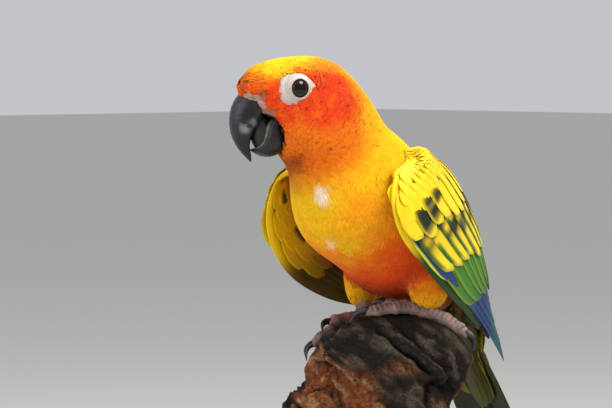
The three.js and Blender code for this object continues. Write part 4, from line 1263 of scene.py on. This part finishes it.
# Painted shade: the skin darkens to red-brown down inside each nostril.
nostril_shade = (NOSTRIL_SHADE_RED, smooth(0.35, -0.1, deep))
colours = layered(CERE_PINK, (CERE_GREY, smooth(0.4, 0.9, tone) * 0.7), nostril_shade)
bare_skin = pigmented("bare_skin", 0.6, 0.7, 0.12, 0.35, 0.06, Subsurface_Weight=0.0)
cere = add_piece("cere", points, quads, bare_skin, colours)

TONGUE_AND_SHADE_BLACK, TONGUE_GREY = linear("#0b090a"), linear("#241c20")
tongue_body = blend(
    [head_blob((15.0, 0, -11.4), (3.9, 4.4, 5.4)), head_blob((15.6, 0, -7.6), (2.6, 3.6, 2.8))], 2
)
points, quads = formed(tongue_body, *head_box((10, 20), (-5, 5), (-17.5, -4)), 0.45)
grain = 0.25 * lattice_noise(points, 0.9, 31) - 0.15
points = points + unit(slope_of(tongue_body, points)) * grain[:, None]
# Painted shade: the tongue is near black, deepened as the shade inside the mouth, with grey flecks.
colours = layered(TONGUE_AND_SHADE_BLACK, (TONGUE_GREY, lattice_noise(points, 1.2, 32) * 0.6))
tongue_skin = pigmented("tongue_skin", 0.5, 0.6, 0.2, 0.4, 0.06)
tongue = add_piece("tongue_pad", points, quads, tongue_skin, colours)
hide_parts("tongue")


# Eyes: dark brown, glossy and round, each set in a bare white ring of fine skin that rises to the
# lids. The ring is drawn out to a point behind and wider and pinker in front below.
LID_OPENING = (2.65, 2.95)
RING_WHITE, RING_PINK, LID_GREY = linear("#c8beb8"), linear("#b98478"), linear("#6a5a54")
IRIS_BROWN, IRIS_RIM, PUPIL = linear("#2a140a"), linear("#0c0706"), linear("#010101")


def side_of_head(f, v, side):
    """How far out the flesh reaches from the head's middle plane."""
    near, far = np.zeros(f.shape), np.full(f.shape, 20.0)
    for _ in range(24):
        middle = (near + far) / 2
        inside = flesh(from_head(np.stack([f, side * middle, v], -1))) < 0
        near, far = np.where(inside, middle, near), np.where(inside, far, middle)
    return (near + far) / 2


RING_STEPS, RING_TURNS = 26, 96
GLOBE_ROWS, GLOBE_COLUMNS = 46, 64
LID_EDGE = EYE_RADIUS + 0.3
PUPIL_EDGE, IRIS_EDGE = (1.95, 1.7), (2.35, 2.75)
CORNEA_BULGE = 0.03


def make_ring(label, side):
    """The bare skin round the eye, from under the feathers up over the globe to the rolled lids."""
    theta = np.linspace(0, 2 * math.pi, RING_TURNS, endpoint=False)
    outer = np.interp(np.degrees(theta), RING_ANGLES, RING_RADII)
    outer = (outer + np.roll(outer, 1) + np.roll(outer, -1) + np.roll(outer, 2) + np.roll(outer, -2)) / 5
    across, over = LID_OPENING
    inner = across * over / np.hypot(over * np.cos(theta), across * np.sin(theta))
    share = np.linspace(0, 1, RING_STEPS)[:, None]
    rho = inner + (outer + 0.5 - inner) * share
    f, v = EYE_PLACE[0] + rho * np.cos(theta), EYE_PLACE[2] + rho * np.sin(theta)
    head_side = side_of_head(f, v, side) - 0.15
    dome = EYE_PLACE[1] + np.sqrt(np.maximum((EYE_RADIUS + 0.35) ** 2 - rho**2, 0))
    height = np.logaddexp(dome * 2.2, head_side * 2.2) / 2.2
    height = np.where(rho > LID_EDGE, np.maximum(head_side, height - (rho - LID_EDGE)), height)
    crease = np.sin(rho * 7.5 + 1.6 * np.sin(theta * 9)) * 0.05 + np.sin(theta * 46 + rho * 2) * 0.025
    roll_up = 0.3 * np.exp(-(((rho - inner - 0.35) / 0.3) ** 2))
    roll_up = roll_up - 0.12 * np.exp(-(((rho - inner - 0.95) / 0.22) ** 2))
    height = height - 0.5 * smooth(0.85, 1, share) + crease * smooth(0, 0.15, share) + roll_up

    def both(values):
        """Values for the rings of the outer face, then for those of the inner face on the way back."""
        values = np.broadcast_to(values, rho.shape)
        return np.concatenate([values, values[::-1]]).ravel()

    top, under = np.stack([f, side * height, v], -1), np.stack([f, side * (height - 1.2), v], -1)
    points = from_head(np.concatenate([top, under[::-1]]).reshape(-1, 3))
    tone = lattice_noise(points, 1.2, 14)
    low_front = smooth(0.2, 1.0, np.cos(theta + math.radians(50))) * smooth(0.3, 0.8, share)
    colours = layered(
        RING_WHITE,
        (RING_PINK, both(low_front) * (0.35 + 0.6 * tone)),
        (LID_GREY, smooth(0.10, 0.0, both(share)) * 0.8),
    )
    # Painted light and shade: the wrinkles are lighter on their rises and darker in their dips.
    colours = np.clip(colours * (1 + both(crease) * 1.6)[:, None], 0, 1)
    triangles = tube(points, 2 * RING_STEPS, RING_TURNS, loop=True)
    ring = add_piece(f"eye_ring_{label}", points, triangles, bare_skin, colours)


def make_globe(label, side):
    """The eyeball: brown iris, black pupil and a dark rim, under one clear wet surface."""
    polar = np.linspace(0, math.pi, GLOBE_ROWS + 2)[1:-1, None]
    spin = np.linspace(0, 2 * math.pi, GLOBE_COLUMNS, endpoint=False)[None, :]
    width = np.sin(polar)
    out = [width * np.cos(spin), side * np.cos(polar) * np.ones_like(spin), width * np.sin(spin)]
    bulge = 1 + CORNEA_BULGE * np.exp(-((polar / 0.6) ** 2))
    centre = np.array([EYE_PLACE[0], side * EYE_PLACE[1], EYE_PLACE[2]])
    globe = centre + np.stack(out, -1) * (EYE_RADIUS * bulge)[..., None]
    poles = centre + np.array([[0, side * (1 + CORNEA_BULGE), 0], [0, -side, 0]]) * EYE_RADIUS
    local = np.concatenate([globe.reshape(-1, 3), poles])
    points = from_head(local)
    f, s, v = (local - centre).T
    off_axis = np.hypot(f, v)
    spokes = lattice_noise(np.stack([np.arctan2(v, f) * 6, off_axis, off_axis * 0], 1), 0.8, 6)
    colours = layered(
        IRIS_BROWN,
        (IRIS_BROWN * 1.9, spokes),
        (PUPIL, smooth(*PUPIL_EDGE, off_axis)),
        (IRIS_RIM, smooth(*IRIS_EDGE, off_axis)),
    )
    colours = np.where((s * side > 0)[:, None], colours, IRIS_RIM)
    triangles = tube(points, GLOBE_ROWS, GLOBE_COLUMNS)
    globe = add_piece(f"eye_globe_{label}", points, triangles, eye_finish, colours)
    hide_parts(f"eye_{label}")


eye_finish = pigmented("eye", 0.05, 3.0, 0.02, 2.0, 0.0, IOR=1.38)
for label, side in SIDES.items():
    make_ring(label, side)
    make_globe(label, side)


# Log: the top of an old split stump, sawn flat below. Its weathered outside is dark, furrowed and
# cracked along the grain, and where slabs have torn away the wood is orange-brown and stepped.
log_body = blend(
    [
        blob((2, 4, -21), (22, 25, 20.5)),
        blob((14, 9, -20), (20, 20, 17)),
        blob((-5, -8, -36), (23, 20, 17)),
        blob((20, 4, -38), (19, 18, 13)),
    ],
    7,
)
TOE_RADIUS, TOE_GAP, FOOT_TURN = 1.75, 0.35, 35
TOE_STRIDE = 0.5
FOOT_MIDDLE = (14.6, 12.0)
# Each toe: its angle out from the foot's way, its length and its claw's length.
TOES = {
    "front_outer": (10, 19, 7),
    "front_inner": (-24, 13, 6),
    "back_outer": (152, 16, 6.5),
    "back_inner": (-158, 9, 5.5),
}


def toe_line(side, toe, start, end, count, height_at):
    """Points along the log under a toe, from a distance from the foot's middle to another."""
    turn = math.radians(FOOT_TURN) - side * math.radians(TOES[toe][0])
    way = np.array([-math.sin(turn), -math.cos(turn), 0])
    start_at = np.array([side * FOOT_MIDDLE[0], FOOT_MIDDLE[1], 0.0])
    place = onto(log_body, start_at, TOE_RADIUS + TOE_GAP + 0.5, 4)
    travelled, points = 0.0, []
    wanted = np.linspace(start, end, count)
    while len(points) < count:
        if travelled >= wanted[len(points)] - 1e-6:
            f = max(0.0, (travelled - start) / (end - start))
            points.append(onto(log_body, place, height_at(f), 4))
            continue
        normal = unit(slope_of(log_body, place))
        along = unit(way - normal * (way @ normal))
        place = onto(log_body, place + along * TOE_STRIDE, TOE_RADIUS + TOE_GAP, 4)
        travelled += TOE_STRIDE
    return np.array(points)


def toe_height(f):
    return TOE_RADIUS + TOE_GAP


foot_places = np.concatenate(
    [
        toe_line(side, toe, 0, length + claw, 14, toe_height)
        for side in SIDES.values()
        for toe, (_, length, claw) in TOES.items()
    ]
)
# The grain runs slanting down the front of the log.
GRAIN = unit(view_right * 0.72 - view_up * 0.62 + view_toward * 0.3)
GRAIN_SIDE = unit(np.cross(GRAIN, (0.2, 0.3, 1.0)))
GRAIN_UP = np.cross(GRAIN_SIDE, GRAIN)


def along_grain(points, stretch):
    return np.stack([points @ GRAIN / stretch, points @ GRAIN_SIDE, points @ GRAIN_UP], -1)


def to_nearest(points, places):
    nearest = np.full(len(points), 1e9)
    for place in places:
        nearest = np.minimum(nearest, ((points - place) ** 2).sum(-1))
    return np.sqrt(nearest)


LOG_STEP = 0.66
LOG_BOX = ((-46, -46, -46), (52, 46, 3))
cut_log = lambda points: np.maximum(log_body(points), -(points[..., 2] + LOG_DEPTH))
log_points, log_faces = surface_net(cut_log, *LOG_BOX, LOG_STEP)
sawn = np.abs(log_points[:, 2] + LOG_DEPTH) < LOG_STEP
log_points[~sawn] = onto(log_body, log_points[~sawn])
log_points[:, 2] = np.maximum(log_points[:, 2], -LOG_DEPTH)
log_points[sawn, 2] = -LOG_DEPTH
log_normals = unit(slope_of(log_body, log_points))
# The feet stand on whole wood, and the saw cut keeps its outline.
free = smooth(3.0, 8.5, to_nearest(log_points, foot_places))
free = free * smooth(-LOG_DEPTH, -LOG_DEPTH + 3, log_points[:, 2])
stretched = along_grain(log_points, 3.2)
# How far each kind of wear goes into the wood, in millimetres.
TORN_DEPTH, FURROW_DEPTH, SPLIT_DEPTH, SLIVER_DEPTH, CRACK_DEPTH = 4.4, 1.5, 2.6, 0.9, 3.2
CRACK_WIDTH = 0.8
slabs = lattice_noise(stretched, 8, 41) + 0.35 * lattice_noise(stretched, 3.5, 42)
terraces = np.floor(slabs * 6) / 6 + smooth(0.55, 1.0, (slabs * 6) % 1) / 6
furrows = 1 - np.abs(2 * lattice_noise(along_grain(log_points, 6), 1.7, 43) - 1)
splits = smooth(0.09, 0.0, np.abs(lattice_noise(along_grain(log_points, 9), 7, 44) - 0.5))
crumbs = lattice_noise(log_points, 1.1, 45)
across, up, toward = log_points @ view_right, log_points @ view_up, log_points @ view_toward
front_tear = 0.3 * np.exp(-(((across - 2) / 15) ** 2) - ((up + 19) / 8) ** 2)
torn = smooth(0.50, 0.62, lattice_noise(stretched, 15, 46) + 0.008 * (-14 - log_points[:, 2]) + front_tear)
# One long crack runs down the front from under the feet.
off_crack = (across - 1.6) * 0.655 + (up + 2.6) * 0.757 + 1.6 * (lattice_noise(log_points, 5, 50) - 0.5)
crack = np.exp(-((off_crack / CRACK_WIDTH) ** 2)) * smooth(-1, 3, across) * smooth(23, 19, across)
crack = crack * smooth(0, 8, toward)
slivers = 1 - np.abs(2 * lattice_noise(along_grain(log_points, 11), 1.15, 51) - 1)
depth = TORN_DEPTH * torn * terraces + FURROW_DEPTH * furrows + SPLIT_DEPTH * splits
depth = free * (depth + SLIVER_DEPTH * slivers * torn + CRACK_DEPTH * crack)
depth = depth + (1.1 * crumbs + 0.7 * lattice_noise(log_points, 2.2, 52)) * (0.25 + 0.75 * free)
log_points = log_points - log_normals * depth[:, None] * (~sawn)[:, None]
BARK_DARK, BARK_GREY, LICHEN = linear("#1b1511"), linear("#4b4037"), linear("#50543a")
WOOD_ORANGE, WOOD_TAN, SAWN_WOOD = linear("#7f4424"), linear("#a57c58"), linear("#b98a58")
grey = lattice_noise(along_grain(log_points, 4), 2.6, 47)
tan = lattice_noise(along_grain(log_points, 5), 1.8, 49)
lichen = smooth(0.62, 0.75, lattice_noise(log_points, 4, 48)) * smooth(-22, -6, log_points[:, 2]) * 0.5
wood = layered(WOOD_ORANGE, (WOOD_TAN, smooth(0.4, 0.8, tan)))
log_colours = layered(
    BARK_DARK,
    (BARK_GREY, smooth(0.45, 0.8, grey)),
    (LICHEN, lichen),
    (wood, torn * smooth(0.15, 0.5, crumbs + 0.3 * grey)),
)
shaded = 1 - np.maximum(0.6 * splits, 0.9 * crack) * free - 0.35 * smooth(0.75, 1, furrows)
log_colours = log_colours * (shaded * (0.75 + 0.5 * crumbs))[:, None]
log_colours = np.where(sawn[:, None], SAWN_WOOD, log_colours)
weathered_wood = pigmented("weathered_wood", 0.9, 1.0, 0.55, 0.9, 1.2, Specular_IOR_Level=0.2)
log = add_piece("log", log_points, log_faces, weathered_wood, np.clip(log_colours, 0, 1))
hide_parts("perch")


# Feet: two toes in front and two behind, grey-pink and fleshy, ringed above by scutes with soft
# pads below, each ending in a dark curved claw that grips the log.
SCUTE_MM = 1.55
FOOT_PINK, FOOT_GREY, FOOT_CREASE_SHADE = linear("#a67e78"), linear("#7b6864"), linear("#3e302e")


def capsules(points, lines, radii, soft):
    """Smooth distance to rods along lines, with how far along the nearest one each point lies."""
    total, along = None, None
    for line, radius in zip(lines, radii):
        run = 0.0
        for a, b, ra, rb in zip(line[:-1], line[1:], radius[:-1], radius[1:]):
            span = b - a
            length = np.linalg.norm(span)
            h = np.clip((points - a) @ span / length**2, 0, 1)
            value = np.linalg.norm(points - a - h[..., None] * span, axis=-1) - (ra + (rb - ra) * h)
            if total is None:
                total, along = value, run + h * length
            else:
                along = np.where(value < total, run + h * length, along)
                mix = np.maximum(soft - np.abs(total - value), 0) / soft
                total = np.minimum(total, value) - mix * mix * soft / 4
            run += length
    return total, along


SHIN_TOP = (14.7, 15.0, 9.0)
KNUCKLES = np.array([1.12, 1.05, 0.92, 1.03, 0.88, 0.98, 0.72])  # swellings from a toe's root to its claw
CLAW_STEPS, CLAW_SIDES, CLAW_RADIUS = 15, 18, 1.05


def make_foot(label, side):
    lines = [toe_line(side, toe, 0, TOES[toe][1], len(KNUCKLES), toe_height) for toe in TOES]
    radii = [TOE_RADIUS * KNUCKLES for toe in TOES]
    shin, pad = np.array(SHIN_TOP) * np.array([side, 1, 1]), lines[0][0]
    lines.append(np.array([shin, (shin + pad) / 2, pad]))
    radii.append(np.array([2.5, 2.35, 2.3]))
    everything = np.concatenate(lines)
    field = lambda p: capsules(p, lines, radii, 0.9)[0]
    points, quads = formed(field, everything.min(0) - 4, everything.max(0) + 4, 0.5)
    normals = unit(slope_of(field, points))
    _, run = capsules(points, lines, radii, 0.9)
    above = smooth(-0.3, 0.5, (normals * unit(slope_of(log_body, points))).sum(-1))
    phase = (run / SCUTE_MM + 0.25 * lattice_noise(points, 2, 61)) % 1
    groove = np.exp(-(((phase - 0.5) / 0.13) ** 2))
    pads = lattice_noise(points, 1.0, 62)
    points = points + normals * (0.14 - 0.36 * groove * above + 0.34 * (pads - 0.5))[:, None]
    # Painted shade: darker in the grooves between the scutes on top and in the dents between the pads.
    colours = layered(
        FOOT_PINK,
        (FOOT_GREY, smooth(0.35, 0.75, lattice_noise(points, 3, 63))),
        (FOOT_CREASE_SHADE, groove * above * 0.75 + smooth(0.55, 0.2, pads) * 0.2),
    )
    foot = add_piece(f"foot_{label}_skin", points, quads, foot_finish, np.clip(colours, 0, 1))
    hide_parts(f"foot_{label}")


def make_claw(label, side, toe):
    _, length, claw = TOES[toe]

    def height_at(f):
        return (TOE_RADIUS + (0.45 - TOE_RADIUS) * f) + TOE_GAP + 1.5 * math.sin(math.pi * min(1, f))

    line = toe_line(side, toe, length - 0.6, length + 0.9 + claw * 0.82, CLAW_STEPS, height_at)
    along = unit(np.gradient(line, axis=0))
    over = unit(np.cross(along, unit(slope_of(log_body, line))))
    up = np.cross(over, along)
    radius = CLAW_RADIUS * (1 - np.linspace(0, 1, CLAW_STEPS) ** 1.5) + 0.12
    angle = np.linspace(0, 2 * math.pi, CLAW_SIDES, endpoint=False)[None, :, None]
    ring = over[:, None] * (np.cos(angle) * 0.82) + up[:, None] * (np.sin(angle) * 1.1)
    points = (line[:, None] + ring * radius[:, None, None]).reshape(-1, 3)
    points = np.concatenate([points, line[:1], line[-1:] + along[-1:] * 0.25])
    colours = layered(HORN_DARK, (HORN_VIOLET_AND_SHEEN, smooth(0.3, 0.9, lattice_noise(points, 1.6, 64)) * 0.35))
    triangles = tube(points, CLAW_STEPS, CLAW_SIDES)
    piece = add_piece(f"claw_{label}_{toe}_horn", points, triangles, claw_finish, colours)
    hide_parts(f"claw_{label}_{toe}")


foot_finish = pigmented("scaled_skin", 0.55, 0.8, 0.14, 0.45, 0.08)
claw_finish = pigmented("claw_horn", 0.38, 1.5, 0.12, 0.8, 0.04, Coat_Weight=0.12, Coat_Roughness=0.25)
for label, side in SIDES.items():
    make_foot(label, side)
    for toe in TOES:
        make_claw(label, side, toe)


# Display stand: a turned base of dark stained beech and two brushed steel rods up into the log.
def grained(name, dark, light, run, detail, bump_height, **sockets):
    """A finish with a grain drawn out along one way, between a dark and a light tone."""
    material, tree, shader = new_material(name, **sockets)
    where = add_node(tree, "ShaderNodeTexCoord").outputs["Object"]
    stretched = add_node(tree, "ShaderNodeMapping", {"Vector": where}, Scale=run).outputs["Vector"]
    grain = add_node(tree, "ShaderNodeTexNoise", {"Vector": stretched}, Scale=1.0, Detail=detail)
    mix = add_node(tree, "ShaderNodeMix", {"Factor": grain.outputs["Fac"]}, data_type="RGBA")
    mix.inputs["A"].default_value = (*linear(dark), 1)
    mix.inputs["B"].default_value = (*linear(light), 1)
    tree.links.new(mix.outputs["Result"], shader.inputs["Base Color"])
    bump = add_node(tree, "ShaderNodeBump", {"Height": grain.outputs["Fac"]}, Distance=bump_height / 1000)
    tree.links.new(bump.outputs["Normal"], shader.inputs["Normal"])
    return material


beech = grained(
    "stained_beech", "#2a1b12", "#7a5232", (60.0, 700.0, 700.0), 6.0, 0.2, Roughness=0.42, Coat_Weight=0.3
)
steel = grained(
    "brushed_steel", "#9a9c9e", "#c6c8ca", (300.0, 300.0, 9000.0), 3.0, 0.03, Roughness=0.32, Metallic=1.0
)
for node, material in (("stand_base", beech), ("stand_rod_front", steel), ("stand_rod_back", steel)):
    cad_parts[node].data.materials.clear()
    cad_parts[node].data.materials.append(material)


# Stage: a wide plain pale floor and three soft studio lights.
FLOOR_REACH = 8
WORLD_COLOUR, WORLD_STRENGTH = (0.8, 0.82, 0.85, 1), 0.68
floor_paint, _, floor_shader = new_material("matt_paint", Roughness=0.9)
floor_shader.inputs["Base Color"].default_value = (*linear("#d2d1cd"), 1)
floor_mesh = bpy.data.meshes.new("floor")
corners = [(x * FLOOR_REACH, y * FLOOR_REACH, 0) for x, y in ((-1, -1), (1, -1), (1, 1), (-1, 1))]
floor_mesh.from_pydata(corners, [], [(0, 1, 2, 3)])
floor_mesh.materials.append(floor_paint)
floor = bpy.data.objects.new("floor", floor_mesh)
bpy.context.scene.collection.objects.link(floor)
floor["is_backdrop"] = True


def soft_light(name, place, size, power, tint):
    light = bpy.data.lights.new(name, "AREA")
    light.shape = "DISK"
    light.size = size
    light.energy = power
    light.color = linear(tint)
    holder = bpy.data.objects.new(name, light)
    holder.location = bird_origin + np.array(place)
    holder.rotation_euler = Vector(-np.array(place)).to_track_quat("-Z", "Y").to_euler()
    bpy.context.scene.collection.objects.link(holder)


# Each light: its place right of the bird, towards the camera and up, in metres, its width and watts.
LIGHTS = {
    "key": ((0.35, 0.6, 0.8), 0.5, 10, "#fffaf0"),
    "fill": ((-0.9, 0.5, 0.25), 0.8, 3, "#ffffff"),
    "top": ((0.2, -0.4, 1.0), 0.7, 7, "#ffffff"),
}
for name, ((right, toward, up), size, power, tint) in LIGHTS.items():
    soft_light(name, view_right * right + view_toward * toward + view_up * up, size, power, tint)
world = bpy.data.worlds.new("studio")
world.use_nodes = True
world.node_tree.nodes["Background"].inputs["Color"].default_value = WORLD_COLOUR
world.node_tree.nodes["Background"].inputs["Strength"].default_value = WORLD_STRENGTH
bpy.context.scene.world = world
bpy.context.scene.view_settings.view_transform = "Standard"

[[list(map(float, corner)) for corner in box] for box in (cad_box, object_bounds())]
